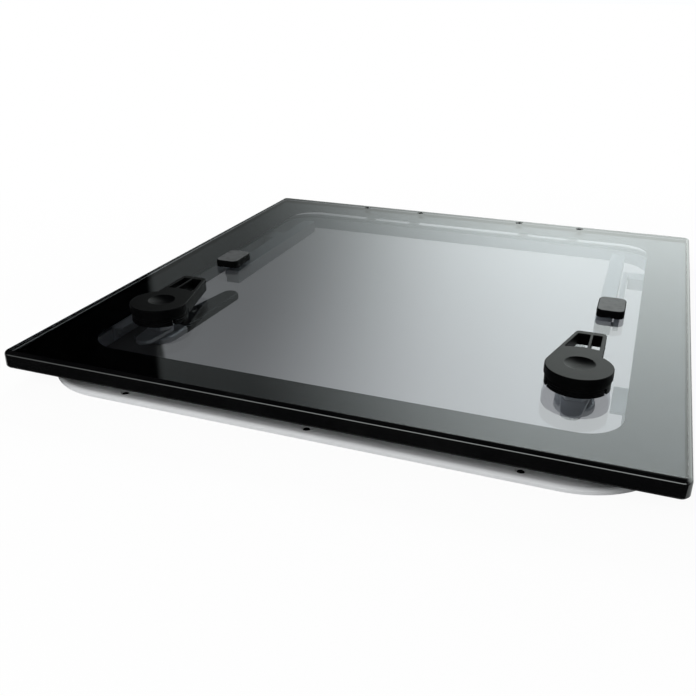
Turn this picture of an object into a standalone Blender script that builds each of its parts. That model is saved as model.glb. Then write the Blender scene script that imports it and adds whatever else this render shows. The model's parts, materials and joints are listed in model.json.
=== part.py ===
"""Low deck hatch: a tinted acrylic lid on a flanged frame, with two rotary latches and two sliding stays.

Metres, +Z up. The origin is the middle of the lid's plan, on the deck. The latches are on the -Y side
and the hinges on the +Y side. Right-hand pieces are drawn at +X, and left-hand ones are their mirror.
"""

import math

import bmesh
import bpy
from mathutils import Matrix, Vector

for leftover in list(bpy.data.objects):
    bpy.data.objects.remove(leftover, do_unlink=True)

# Clearance between pieces that seat on each other, and how far a cutter runs past the wall it cuts.
GAP = 0.0003
OVERCUT = 0.002

# Facets of round shapes, and the angle under which neighbouring faces shade as one curve.
CORNER_STEPS = 8
EDGE_STEPS = 4
SMALL_STEPS = 12
ROUND_STEPS = 22
FINE_STEPS = 31
SMALL_RADIUS = 0.005
FINE_RADIUS = 0.022
SMOOTH_ANGLE = math.radians(32)

# Lid blank.
LENS_WIDTH = 0.580
LENS_DEPTH = 0.608
LENS_THICKNESS = 0.015
LENS_UNDERSIDE = 0.0185
LENS_CORNER_RADIUS = 0.007
LENS_TOP_ROUND = 0.004
LENS_BOTTOM_ROUND = 0.001

# Black border under the lid, and the clear window that it leaves.
MASK_THICKNESS = 0.0009
MASK_SETBACK = 0.0015
WINDOW_BORDER_SIDE = 0.0490
WINDOW_BORDER_FRONT = 0.0510
WINDOW_BORDER_BACK = 0.0470
WINDOW_CORNER_RADIUS = 0.034

# Frame: flange on the deck, then a raised rim with the seal groove in its top.
FLANGE_SETBACK_SIDE = 0.010
FLANGE_SETBACK_FRONT = 0.008
FLANGE_SETBACK_BACK = 0.028
FLANGE_CORNER_RADIUS = 0.077
FLANGE_THICKNESS = 0.005
FLANGE_ROUND = 0.003
FLANGE_WIDTH = 0.020
RIM_WIDTH = 0.018
RIM_HEIGHT = 0.0135
RIM_EDGE = 0.001
GROOVE_WIDTH = 0.008
GROOVE_DEPTH = 0.0025
SEAL_ROUND = 0.0022

# Countersunk holes for the deck screws.
DECK_HOLE_INSET = 0.0104
DECK_HOLE_PITCH = 0.174
DECK_HOLE_SHANK_RADIUS = 0.0024
DECK_HOLE_HEAD_RADIUS = 0.0045

# Rotary latches.
LATCH_INSET_SIDE = 0.090
LATCH_INSET_FRONT = 0.120
SPINDLE_RADIUS = 0.005
SPINDLE_SQUARE = 0.007
BUSH_WALL = 0.0024
BUSH_FLANGE_RADIUS = 0.0205
BUSH_FLANGE_THICKNESS = 0.003
NUT_ACROSS_CORNERS = 0.028
NUT_HEIGHT = 0.004
ESCUTCHEON_RADIUS = 0.027
ESCUTCHEON_WALL = 0.006
ESCUTCHEON_HEIGHT = 0.0092
ESCUTCHEON_COVER = 0.002
ESCUTCHEON_GROOVE = 0.0008
ESCUTCHEON_GROOVES = 3
ESCUTCHEON_SLOT_WIDTH = 0.0034
ESCUTCHEON_SLOT_HEIGHT = 0.0058
ESCUTCHEON_SLOT_ANGLES = (math.radians(-27), math.radians(-152))

# Outer handle: a thumb disc with a windowed lever.
HANDLE_RADIUS = 0.0280
HANDLE_THICKNESS = 0.0078
HANDLE_EDGE = 0.0008
DISH_RADIUS = 0.0135
DISH_DEPTH = 0.0032
DISH_OFFSET = 0.004
SOCKET_DEPTH = 0.0022
LEVER_REACH = 0.075
LEVER_OUTER_EDGE = 0.0165
LEVER_TIP_INNER = -0.0100
LEVER_TIP_ROUND = 0.0045
LEVER_SKIRT = 0.0048
LEVER_RAIL = 0.0036
LEVER_TIP_BAR = 0.0070
WINDOW_NEAR_RADIUS = 0.0385
RIB_CENTRE = 0.0038
RIB_WIDTH = 0.0026

# Latch tongue, inner lever and the screw that clamps them on the spindle.
TONGUE_REACH = 0.038
TONGUE_HUB_RADIUS = 0.012
TONGUE_TIP_RADIUS = 0.0085
TONGUE_THICKNESS = 0.0036
TONGUE_DROP = 0.0004
INNER_LEVER_LENGTH = 0.128
INNER_LEVER_HUB_RADIUS = 0.0175
INNER_LEVER_TIP_RADIUS = 0.0095
INNER_LEVER_THICKNESS = 0.0083
INNER_LEVER_SPLAY = math.radians(6)
INNER_LEVER_EDGE = 0.0015
SPINDLE_SCREW_RADIUS = 0.002
SPINDLE_SCREW_DEPTH = 0.006
SPINDLE_SCREW_HEAD_RADIUS = 0.0065
SPINDLE_SCREW_HEAD = 0.002

# Keepers on the frame's side walls, which the tongues turn under.
KEEPER_PLATE = 0.0027
KEEPER_LENGTH = 0.046
KEEPER_SHELF = 0.010
KEEPER_SHELF_THICKNESS = 0.0022
KEEPER_SHELF_CLEARANCE = 0.0006
KEEPER_FOOT = 0.0025
KEEPER_SCREW_SPACING = 0.030
KEEPER_SCREW_HEIGHT = 0.0065

# Hinges.
HINGE_SPREAD = 0.222
HINGE_LENGTH = 0.100
HINGE_AXIS_HEIGHT = 0.0095
HINGE_AXIS_SETBACK = 0.010
HINGE_KNUCKLE_RADIUS = 0.0041
HINGE_PIN_RADIUS = 0.002
HINGE_LID_KNUCKLE = 0.052
HINGE_FRAME_KNUCKLE = 0.014
HINGE_LEAF_THICKNESS = 0.0027
HINGE_LID_LEAF_THICKNESS = 0.003
HINGE_LID_LEAF_FRONT = 0.011
HINGE_LID_LEAF_BACK = 0.007
HINGE_SCREW_SPACING = 0.081
HINGE_SCREW_SETBACK = 0.0125
HINGE_SCREW_RADIUS = 0.0025
HINGE_SCREW_HEAD_RADIUS = 0.0046
LEAF_SCREW_SPACING = 0.060
LEAF_SCREW_INSET = 0.0085

# Small countersunk screws in the frame.
FRAME_SCREW_RADIUS = 0.0016
FRAME_SCREW_HEAD_RADIUS = 0.0030
FRAME_SCREW_GRIP = 0.0042

# Stays: an arm on the frame whose roller slides in a track under the lid.
CAP_INSET_SIDE = 0.076
CAP_BEHIND_MIDDLE = 0.005
CAP_WIDTH = 0.027
CAP_DEPTH = 0.0415
CAP_HEIGHT = 0.008
CAP_CORNER_RADIUS = 0.007
CAP_TOP_ROUND = 0.0016
CAP_NOTCH_WIDTH = 0.011
CAP_NOTCH_DEPTH = 0.0012
CAP_NOTCH_HEIGHT = 0.0028
ANCHOR_RADIUS = 0.003
ANCHOR_HEAD_RADIUS = 0.0055
ANCHOR_HEAD_HEIGHT = 0.0035
TRACK_INSET_SIDE = 0.082
TRACK_WIDTH = 0.016
TRACK_HEIGHT = 0.0147
TRACK_WALL = 0.002
TRACK_LIP = 0.0015
TRACK_TOP = 0.0042
TRACK_END = 0.0155
STAY_ARM_GAP = 0.002
STAY_ARM_THICKNESS = 0.005
STAY_ARM_HALF_HEIGHT = 0.006
STAY_EYE_RADIUS = 0.007
STAY_STUD_RADIUS = 0.0025
ROLLER_RADIUS = 0.004
ROLLER_CLEARANCE = 0.0005
BRACKET_LENGTH = 0.024
BRACKET_FOOT = 0.001
BRACKET_CLEARANCE = 0.0013
PIN_SEAT = 0.004
LID_OPENING = math.radians(70)

# Heights and places that follow from the sizes above.
LENS_TOP = LENS_UNDERSIDE + LENS_THICKNESS
MASK_TOP = LENS_UNDERSIDE - GAP
MASK_UNDERSIDE = MASK_TOP - MASK_THICKNESS
FRAME_RING = FLANGE_WIDTH + RIM_WIDTH
FRAME_HALF_X = LENS_WIDTH / 2 - FLANGE_SETBACK_SIDE
FRAME_FRONT = -LENS_DEPTH / 2 + FLANGE_SETBACK_FRONT
FRAME_BACK = LENS_DEPTH / 2 - FLANGE_SETBACK_BACK
FRAME_HALF_Y = (FRAME_BACK - FRAME_FRONT) / 2
FRAME_MIDDLE_Y = (FRAME_BACK + FRAME_FRONT) / 2
INNER_WALL_X = FRAME_HALF_X - FRAME_RING
LATCH_X = LENS_WIDTH / 2 - LATCH_INSET_SIDE
LATCH_Y = -LENS_DEPTH / 2 + LATCH_INSET_FRONT
ESCUTCHEON_BASE = LENS_TOP + GAP
HANDLE_UNDERSIDE = ESCUTCHEON_BASE + ESCUTCHEON_HEIGHT + GAP
HANDLE_TOP = HANDLE_UNDERSIDE + HANDLE_THICKNESS
BUSH_BORE = SPINDLE_RADIUS + GAP
BUSH_RADIUS = BUSH_BORE + BUSH_WALL
BUSH_BOTTOM = LENS_UNDERSIDE - GAP - NUT_HEIGHT
TONGUE_TOP = BUSH_BOTTOM - TONGUE_DROP
TONGUE_BOTTOM = TONGUE_TOP - TONGUE_THICKNESS
INNER_LEVER_TOP = TONGUE_BOTTOM - TONGUE_DROP
INNER_LEVER_BOTTOM = INNER_LEVER_TOP - INNER_LEVER_THICKNESS
SPINDLE_SCREW_SEAT = INNER_LEVER_BOTTOM + SPINDLE_SCREW_HEAD + 2 * GAP
HINGE_Y = LENS_DEPTH / 2 - HINGE_AXIS_SETBACK
HINGE_SCREW_Y = LENS_DEPTH / 2 - HINGE_SCREW_SETBACK
CAP_X = LENS_WIDTH / 2 - CAP_INSET_SIDE
CAP_Y = FRAME_MIDDLE_Y + CAP_BEHIND_MIDDLE
TRACK_X = LENS_WIDTH / 2 - TRACK_INSET_SIDE
TRACK_UNDERSIDE = MASK_TOP - TRACK_HEIGHT
# The arm is half as long as the roller's distance from the hinge, so it turns twice as far as the lid.
STAY_ARM_LENGTH = (HINGE_Y - CAP_Y) / 2
STAY_PIVOT_Y = HINGE_Y - STAY_ARM_LENGTH
ROLLER_NEAREST_Y = HINGE_Y - 2 * STAY_ARM_LENGTH * math.cos(LID_OPENING)
STAY_ARM_INNER_X = TRACK_X + TRACK_WIDTH / 2 + STAY_ARM_GAP
STAY_ARM_OUTER_X = STAY_ARM_INNER_X + STAY_ARM_THICKNESS
BRACKET_INNER_X = STAY_ARM_OUTER_X + BRACKET_CLEARANCE

SIDES = (("left", -1), ("right", 1))

FINISHES = {
    "tinted_acrylic": {"color": (0.10, 0.11, 0.12), "roughness": 0.04, "metallic": 0.0, "transmission": 0.9},
    "black_border": {"color": (0.008, 0.008, 0.009), "roughness": 0.35, "metallic": 0.0},
    "black_plastic": {"color": (0.022, 0.023, 0.025), "roughness": 0.42, "metallic": 0.0},
    "pale_plastic": {"color": (0.62, 0.63, 0.64), "roughness": 0.40, "metallic": 0.0},
    "frame_coat": {"color": (0.78, 0.79, 0.80), "roughness": 0.38, "metallic": 0.0},
    "seal_rubber": {"color": (0.36, 0.365, 0.37), "roughness": 0.80, "metallic": 0.0},
    "stainless": {"color": (0.60, 0.61, 0.62), "roughness": 0.28, "metallic": 1.0},
    "black_steel": {"color": (0.06, 0.06, 0.062), "roughness": 0.42, "metallic": 1.0},
    "anodised": {"color": (0.55, 0.56, 0.58), "roughness": 0.36, "metallic": 1.0},
}


# Outlines in plan, as lists of (x, y), counter-clockwise.


def arc(centre, radius, start, end, steps):
    """Points along an arc, both ends included."""
    angles = [start + (end - start) * step / steps for step in range(steps + 1)]
    return [(centre[0] + radius * math.cos(a), centre[1] + radius * math.sin(a)) for a in angles]


def rounded_rectangle(half_x, half_y, radius, centre=(0.0, 0.0), steps=CORNER_STEPS):
    outline = []
    for quarter, (toward_x, toward_y) in enumerate(((1, 1), (-1, 1), (-1, -1), (1, -1))):
        middle = (
            centre[0] + toward_x * (half_x - radius),
            centre[1] + toward_y * (half_y - radius),
        )
        outline += arc(middle, radius, quarter * math.pi / 2, (quarter + 1) * math.pi / 2, steps)
    return outline


def rectangle(low_x, low_y, high_x, high_y):
    return [(low_x, low_y), (high_x, low_y), (high_x, high_y), (low_x, high_y)]


def link(length, root_radius, tip_radius, steps=ROUND_STEPS // 2):
    """Two round ends joined by their outer tangents, from the origin along +Y."""
    lean = math.asin((root_radius - tip_radius) / length)
    tip = arc((0, length), tip_radius, lean, math.pi - lean, steps)
    root = arc((0, 0), root_radius, math.pi - lean, 2 * math.pi + lean, steps)
    return tip + root


def turned_outline(outline, angle, centre):
    """The outline turned about the origin, then moved to its centre."""
    cos, sin = math.cos(angle), math.sin(angle)
    return [(centre[0] + x * cos - y * sin, centre[1] + x * sin + y * cos) for x, y in outline]


def filleted(corner, before, after, radius, steps=EDGE_STEPS):
    """Arc that rounds a convex corner between the points before and after it."""
    corner = Vector(corner)
    inward = (Vector(before) - corner).normalized()
    onward = (Vector(after) - corner).normalized()
    half = inward.angle(onward) / 2
    middle = corner + (inward + onward).normalized() * radius / math.sin(half)
    start = corner + inward * radius / math.tan(half) - middle
    end = corner + onward * radius / math.tan(half) - middle
    first = math.atan2(start.y, start.x)
    sweep = (math.atan2(end.y, end.x) - first) % (2 * math.pi)
    return arc(middle, radius, first, first + sweep, steps)


# Solids, as bmesh.


def skin(loops, hollow=False):
    """Sides that join each loop of points to the next; the section closes on itself, or its ends are capped."""
    mesh = bmesh.new()
    rows = [[mesh.verts.new(point) for point in loop] for loop in loops]
    following_rows = rows[1:] + rows[:1] if hollow else rows[1:]
    for row, following in zip(rows, following_rows):
        for index in range(len(row)):
            after = (index + 1) % len(row)
            mesh.faces.new((row[index], row[after], following[after], following[index]))
    if not hollow:
        mesh.faces.new(rows[0])
        mesh.faces.new(rows[-1])
    bmesh.ops.recalc_face_normals(mesh, faces=mesh.faces)
    return mesh


def at_height(outline, height):
    return [(x, y, height) for x, y in outline]


def prism(outline, low, high):
    return skin([at_height(outline, low), at_height(outline, high)])


def block(low, high):
    return prism(rectangle(low[0], low[1], high[0], high[1]), low[2], high[2])


def steps_for(radius):
    """More facets for a larger circle."""
    if radius > FINE_RADIUS:
        return FINE_STEPS
    return ROUND_STEPS if radius > SMALL_RADIUS else SMALL_STEPS


def turned(profile, centre=(0.0, 0.0), hollow=False):
    """Profile of (radius, height) turned about an upright axis."""
    steps = steps_for(max(radius for radius, _ in profile))
    loops = []
    for radius, height in profile:
        circle = arc(centre, radius, 0, 2 * math.pi, steps)[:-1]
        loops.append(at_height(circle, height))
    return skin(loops, hollow)


def facing_out(mesh, x=0.0, y=0.0, z=0.0):
    """A mesh drawn upright, laid so that its plan is in (Y, Z) and its height runs along X."""
    lay = Matrix(((0, 0, 1, x), (1, 0, 0, y), (0, 1, 0, z), (0, 0, 0, 1)))
    bmesh.ops.transform(mesh, matrix=lay, verts=mesh.verts)
    return mesh


def rod(radius, low_x, high_x, y, z):
    """Round bar along X."""
    return facing_out(turned([(radius, low_x), (radius, high_x)]), y=y, z=z)


def tube(outer, inner, low_x, high_x, y, z):
    """Round bar along X with a bore."""
    section = [(outer, low_x), (outer, high_x), (inner, high_x), (inner, low_x)]
    return facing_out(turned(section, hollow=True), y=y, z=z)


def joined(meshes):
    """Several separate solids in one mesh, for a cutter."""
    whole = bmesh.new()
    for mesh in meshes:
        data = bpy.data.meshes.new("joined")
        mesh.to_mesh(data)
        mesh.free()
        whole.from_mesh(data)
        bpy.data.meshes.remove(data)
    return whole


def sided(mesh, side):
    """The right-hand mesh, or its mirror for the left."""
    if side < 0:
        bmesh.ops.scale(mesh, vec=(-1, 1, 1), verts=mesh.verts)
        bmesh.ops.reverse_faces(mesh, faces=mesh.faces)
    return mesh


# Objects.


def surface(name, finish):
    material = bpy.data.materials.new(name + "_surface")
    material.use_nodes = True
    shader = material.node_tree.nodes["Principled BSDF"]
    shader.inputs["Base Color"].default_value = (*finish["color"], 1)
    shader.inputs["Roughness"].default_value = finish["roughness"]
    shader.inputs["Metallic"].default_value = finish["metallic"]
    shader.inputs["Transmission Weight"].default_value = finish.get("transmission", 0.0)
    material.diffuse_color = (*finish["color"], 1)
    return material


def joint_empty(name, point, carrier=None):
    """Empty on a joint's axis, which carries the pieces that move with that joint."""
    empty = bpy.data.objects.new(name, None)
    bpy.context.scene.collection.objects.link(empty)
    empty.empty_display_size = 0.02
    empty.parent = carrier
    empty.location = Vector(point) - (carrier.matrix_world.translation if carrier else Vector())
    bpy.context.view_layer.update()
    return empty


def linked(name, mesh, carrier):
    """Object from a mesh drawn in the hatch's frame, with its origin on the empty that carries it."""
    if carrier:
        bmesh.ops.translate(mesh, vec=-carrier.matrix_world.translation, verts=mesh.verts)
    data = bpy.data.meshes.new(name)
    mesh.to_mesh(data)
    mesh.free()
    data.shade_smooth()
    data.set_sharp_from_angle(angle=SMOOTH_ANGLE)
    obj = bpy.data.objects.new(name, data)
    bpy.context.scene.collection.objects.link(obj)
    obj.parent = carrier
    return obj


def piece(name, mesh, finish, carrier=None):
    obj = linked(name, mesh, carrier)
    obj.data.materials.append(surface(name, FINISHES[finish]))
    return obj


def shape_with(target, mesh, purpose, operation):
    """Boolean of the target with a hidden helper."""
    helper = linked(f"{target.name}_{purpose}", mesh, target.parent)
    helper.hide_render = True
    helper.display_type = "WIRE"
    modifier = target.modifiers.new(purpose, "BOOLEAN")
    modifier.operation = operation
    modifier.solver = "EXACT"
    modifier.object = helper


def cut(target, mesh, purpose):
    shape_with(target, mesh, purpose, "DIFFERENCE")


def fuse(target, mesh, purpose):
    shape_with(target, mesh, purpose, "UNION")


# Fasteners: a 90 degree countersunk screw and the hole that takes it.


def countersunk_hole(x, y, shank, head, low, top):
    cone = top - (head - shank)
    profile = [(shank, low - OVERCUT), (shank, cone), (head, top), (head, top + OVERCUT)]
    return turned(profile, (x, y))


def countersunk_screw(x, y, shank, head, low, top):
    cone = top - (head - shank)
    return turned([(shank, low), (shank, cone), (head, top)], (x, y))


def facing_in(mesh, x, y, z):
    """A screw drawn upright with its head at the origin, turned so that the head faces the hatch's middle."""
    turn = Matrix(((0, 0, -1, x), (0, 1, 0, y), (1, 0, 0, z), (0, 0, 0, 1)))
    bmesh.ops.transform(mesh, matrix=turn, verts=mesh.verts)
    return mesh


def round_hole(x, y, radius, low, high):
    return turned([(radius, low - OVERCUT), (radius, high + OVERCUT)], (x, y))


# Frame and seal.


def frame_loop(inset, height):
    """The frame's outline, moved in by the inset."""
    outline = rounded_rectangle(
        FRAME_HALF_X - inset,
        FRAME_HALF_Y - inset,
        FLANGE_CORNER_RADIUS - inset,
        (0, FRAME_MIDDLE_Y),
    )
    return at_height(outline, height)


def frame_section():
    """(inset, height) round the frame's section, from the outer foot over the flange and rim to the inner foot."""
    edge = [
        (FLANGE_ROUND - x, FLANGE_THICKNESS - FLANGE_ROUND + z)
        for x, z in arc((0, 0), FLANGE_ROUND, 0, math.pi / 2, EDGE_STEPS)
    ]
    groove_start = FLANGE_WIDTH + (RIM_WIDTH - GROOVE_WIDTH) / 2
    groove_end = groove_start + GROOVE_WIDTH
    groove_floor = RIM_HEIGHT - GROOVE_DEPTH
    rim = [
        (FLANGE_WIDTH - RIM_EDGE, FLANGE_THICKNESS),
        (FLANGE_WIDTH, FLANGE_THICKNESS + RIM_EDGE),
        (FLANGE_WIDTH, RIM_HEIGHT - RIM_EDGE),
        (FLANGE_WIDTH + RIM_EDGE, RIM_HEIGHT),
        (groove_start, RIM_HEIGHT),
        (groove_start, groove_floor),
        (groove_end, groove_floor),
        (groove_end, RIM_HEIGHT),
        (FRAME_RING - RIM_EDGE, RIM_HEIGHT),
        (FRAME_RING, RIM_HEIGHT - RIM_EDGE),
    ]
    return [(0, 0)] + edge + rim + [(FRAME_RING, 0)]


def deck_hole_points():
    """Three holes on each edge of the flange, about the middle of that edge."""
    points = []
    for step in (-1, 0, 1):
        along = step * DECK_HOLE_PITCH
        points += [(along, FRAME_FRONT + DECK_HOLE_INSET), (along, FRAME_BACK - DECK_HOLE_INSET)]
        for side in (-1, 1):
            points.append((side * (FRAME_HALF_X - DECK_HOLE_INSET), FRAME_MIDDLE_Y + along))
    return points


def leaf_screw_points():
    """Screws that hold the frame's hinge leaves, midway across the flange."""
    y = FRAME_BACK - FLANGE_WIDTH + LEAF_SCREW_INSET
    points = []
    for name, side in SIDES:
        for place, step in (("inner", -side), ("outer", side)):
            x = side * HINGE_SPREAD / 2 + step * LEAF_SCREW_SPACING / 2
            points.append((f"{name}_{place}", x, y))
    return points


def keeper_screw_points():
    points = []
    for place, step in (("front", -1), ("back", 1)):
        points.append((place, LATCH_Y + step * KEEPER_SCREW_SPACING / 2))
    return points


def make_frame():
    frame = piece(
        "lower_frame",
        skin([frame_loop(inset, height) for inset, height in frame_section()], hollow=True),
        "frame_coat",
    )
    holes = [
        countersunk_hole(x, y, DECK_HOLE_SHANK_RADIUS, DECK_HOLE_HEAD_RADIUS, 0, FLANGE_THICKNESS)
        for x, y in deck_hole_points()
    ]
    pilot = FRAME_SCREW_RADIUS + GAP
    holes += [round_hole(x, y, pilot, 0, FLANGE_THICKNESS) for _, x, y in leaf_screw_points()]
    cut(frame, joined(holes), "deck_holes")
    pilots = []
    for _, side in SIDES:
        for _, y in keeper_screw_points():
            depth = FRAME_SCREW_GRIP + GAP
            bore = turned([(pilot, -depth), (pilot, OVERCUT)])
            pilots.append(sided(facing_in(bore, INNER_WALL_X, y, KEEPER_SCREW_HEIGHT), side))
    cut(frame, joined(pilots), "keeper_pilots")


def make_seal():
    """Rubber section that fills the groove and stands up to the lid with a round crown."""
    middle = FLANGE_WIDTH + RIM_WIDTH / 2
    half = GROOVE_WIDTH / 2 - GAP
    foot = RIM_HEIGHT - GROOVE_DEPTH + GAP
    crown = MASK_UNDERSIDE - GAP
    section = [(middle - half, foot)]
    for centre, start in ((middle - half + SEAL_ROUND, math.pi), (middle + half - SEAL_ROUND, math.pi / 2)):
        section += arc((centre, crown - SEAL_ROUND), SEAL_ROUND, start, start - math.pi / 2, EDGE_STEPS)
    section.append((middle + half, foot))
    piece("frame_gasket", skin([frame_loop(inset, z) for inset, z in section], hollow=True), "seal_rubber")


# Lid.


def lens_loop(inset, height):
    outline = rounded_rectangle(
        LENS_WIDTH / 2 - inset,
        LENS_DEPTH / 2 - inset,
        LENS_CORNER_RADIUS - inset,
        steps=CORNER_STEPS - 2,
    )
    return at_height(outline, height)


def hinge_screw_points():
    points = []
    for name, side in SIDES:
        for place, step in (("inner", -side), ("outer", side)):
            x = side * HINGE_SPREAD / 2 + step * HINGE_SCREW_SPACING / 2
            points.append((f"{name}_{place}", x, HINGE_SCREW_Y))
    return points


def make_lens(lid):
    top_edge = [
        (LENS_TOP_ROUND - x, LENS_TOP - LENS_TOP_ROUND + z)
        for x, z in arc((0, 0), LENS_TOP_ROUND, 0, math.pi / 2, EDGE_STEPS)
    ]
    bottom_edge = [(LENS_BOTTOM_ROUND, LENS_UNDERSIDE), (0, LENS_UNDERSIDE + LENS_BOTTOM_ROUND)]
    lens = piece(
        "lens",
        skin([lens_loop(inset, height) for inset, height in bottom_edge + top_edge]),
        "tinted_acrylic",
        lid,
    )
    holes = []
    for side in (-1, 1):
        holes.append(round_hole(side * LATCH_X, LATCH_Y, BUSH_RADIUS + GAP, LENS_UNDERSIDE, LENS_TOP))
        holes.append(round_hole(side * TRACK_X, CAP_Y, ANCHOR_RADIUS + GAP, LENS_UNDERSIDE, LENS_TOP))
    shank = HINGE_SCREW_RADIUS + GAP
    head = HINGE_SCREW_HEAD_RADIUS + GAP
    holes += [countersunk_hole(x, y, shank, head, LENS_UNDERSIDE, LENS_TOP) for _, x, y in hinge_screw_points()]
    cut(lens, joined(holes), "holes")


def make_mask(lid):
    """Border layer under the lens: an outer outline near the lens edge and the window's outline inside it."""
    outer = rounded_rectangle(
        LENS_WIDTH / 2 - MASK_SETBACK,
        LENS_DEPTH / 2 - MASK_SETBACK,
        LENS_CORNER_RADIUS - MASK_SETBACK,
    )
    window_front = -LENS_DEPTH / 2 + WINDOW_BORDER_FRONT
    window_back = LENS_DEPTH / 2 - WINDOW_BORDER_BACK
    window = rounded_rectangle(
        LENS_WIDTH / 2 - WINDOW_BORDER_SIDE,
        (window_back - window_front) / 2,
        WINDOW_CORNER_RADIUS,
        (0, (window_back + window_front) / 2),
    )
    section = ((outer, MASK_UNDERSIDE), (outer, MASK_TOP), (window, MASK_TOP), (window, MASK_UNDERSIDE))
    mask = piece(
        "border_mask",
        skin([at_height(outline, height) for outline, height in section], hollow=True),
        "black_border",
        lid,
    )
    shank = HINGE_SCREW_RADIUS + GAP
    holes = [round_hole(x, y, shank, MASK_UNDERSIDE, MASK_TOP) for _, x, y in hinge_screw_points()]
    cut(mask, joined(holes), "screw_holes")


# Latches.


def make_bush(lid, name, side):
    """Spindle bearing: a flange on the lens and a threaded tube through it, held by a nut below."""
    flange_top = ESCUTCHEON_BASE + BUSH_FLANGE_THICKNESS
    section = [
        (BUSH_BORE, BUSH_BOTTOM),
        (BUSH_RADIUS, BUSH_BOTTOM),
        (BUSH_RADIUS, ESCUTCHEON_BASE),
        (BUSH_FLANGE_RADIUS, ESCUTCHEON_BASE),
        (BUSH_FLANGE_RADIUS, flange_top),
        (BUSH_BORE, flange_top),
    ]
    bush = turned(section, (LATCH_X, LATCH_Y), hollow=True)
    piece(f"spindle_bush_{name}", sided(bush, side), "pale_plastic", lid)
    bore = BUSH_RADIUS + GAP
    hexagon = arc((LATCH_X, LATCH_Y), NUT_ACROSS_CORNERS / 2, 0, 2 * math.pi, 6)[:-1]
    nut = piece(
        f"bush_nut_{name}",
        sided(prism(hexagon, BUSH_BOTTOM, LENS_UNDERSIDE - GAP), side),
        "stainless",
        lid,
    )
    hole = round_hole(LATCH_X, LATCH_Y, bore, BUSH_BOTTOM, LENS_UNDERSIDE)
    cut(nut, sided(hole, side), "thread")


def make_escutcheon(lid, name, side):
    """Grooved ring under the handle, hollow below a cover, with two slots through its wall."""
    top = ESCUTCHEON_BASE + ESCUTCHEON_HEIGHT
    inner = ESCUTCHEON_RADIUS - ESCUTCHEON_WALL
    section = [(ESCUTCHEON_RADIUS, ESCUTCHEON_BASE)]
    pitch = ESCUTCHEON_HEIGHT / (ESCUTCHEON_GROOVES + 1)
    waist = ESCUTCHEON_RADIUS - ESCUTCHEON_GROOVE
    for groove in range(1, ESCUTCHEON_GROOVES + 1):
        middle = ESCUTCHEON_BASE + groove * pitch
        section += [
            (ESCUTCHEON_RADIUS, middle - ESCUTCHEON_GROOVE),
            (waist, middle),
            (ESCUTCHEON_RADIUS, middle + ESCUTCHEON_GROOVE),
        ]
    cover = top - ESCUTCHEON_COVER
    bore = SPINDLE_RADIUS + GAP
    section += [(ESCUTCHEON_RADIUS, top), (bore, top), (bore, cover), (inner, cover), (inner, ESCUTCHEON_BASE)]
    ring = turned(section, (LATCH_X, LATCH_Y), hollow=True)
    escutcheon = piece(f"escutcheon_{name}", sided(ring, side), "black_plastic", lid)
    slots = []
    for angle in ESCUTCHEON_SLOT_ANGLES:
        plan = rectangle(
            inner - OVERCUT,
            -ESCUTCHEON_SLOT_WIDTH / 2,
            ESCUTCHEON_RADIUS + OVERCUT,
            ESCUTCHEON_SLOT_WIDTH / 2,
        )
        plan = turned_outline(plan, angle, (LATCH_X, LATCH_Y))
        slots.append(prism(plan, ESCUTCHEON_BASE - OVERCUT, ESCUTCHEON_BASE + ESCUTCHEON_SLOT_HEIGHT))
    cut(escutcheon, sided(joined(slots), side), "slots")


def lever_tangent():
    """Angle at which the lever's inner edge leaves the disc, on a tangent to the lever's inner tip corner."""
    reach = math.hypot(LEVER_TIP_INNER, LEVER_REACH)
    return math.atan2(LEVER_REACH, LEVER_TIP_INNER) + math.acos(HANDLE_RADIUS / reach)


def handle_outline(shrink=0.0):
    """Disc and lever in plan. The lever's inner edge is tangent to the disc and its outer edge is straight."""
    radius = HANDLE_RADIUS - shrink
    tangent = lever_tangent()
    normal = (math.cos(tangent), math.sin(tangent))
    outer = LEVER_OUTER_EDGE - shrink
    tip = LEVER_REACH - shrink
    root_angle = math.acos(outer / radius)
    # Where the inner edge, moved in by the shrink, meets the tip.
    inner_tip = (radius - normal[1] * tip) / normal[0]
    root = (outer, radius * math.sin(root_angle))
    leaving = (radius * normal[0], radius * normal[1])
    outer_corner = filleted((outer, tip), root, (inner_tip, tip), LEVER_TIP_ROUND - shrink)
    inner_corner = filleted((inner_tip, tip), (outer, tip), leaving, LEVER_TIP_ROUND - shrink)
    disc = arc((0, 0), radius, tangent, 2 * math.pi + root_angle, FINE_STEPS)
    return outer_corner + inner_corner + disc


def lever_windows():
    """The lever's two windows, between its rails, its rib, its tip bar and an arc about the disc."""
    tangent = lever_tangent()
    tip = LEVER_REACH - LEVER_TIP_BAR
    rail = HANDLE_RADIUS - LEVER_RAIL
    inner_tip = (rail - math.sin(tangent) * tip) / math.cos(tangent)
    start = tangent - math.acos(rail / WINDOW_NEAR_RADIUS)
    edges = (
        (inner_tip, start, RIB_CENTRE - RIB_WIDTH / 2),
        (RIB_CENTRE + RIB_WIDTH / 2, math.acos((RIB_CENTRE + RIB_WIDTH / 2) / WINDOW_NEAR_RADIUS),
         LEVER_OUTER_EDGE - LEVER_RAIL),
    )
    windows = []
    for inner_x, near_start, outer_x in edges:
        near_end = math.acos(outer_x / WINDOW_NEAR_RADIUS)
        near = arc((0, 0), WINDOW_NEAR_RADIUS, near_start, near_end, EDGE_STEPS)
        windows.append(near + [(outer_x, tip), (inner_x, tip)])
    return windows


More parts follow.
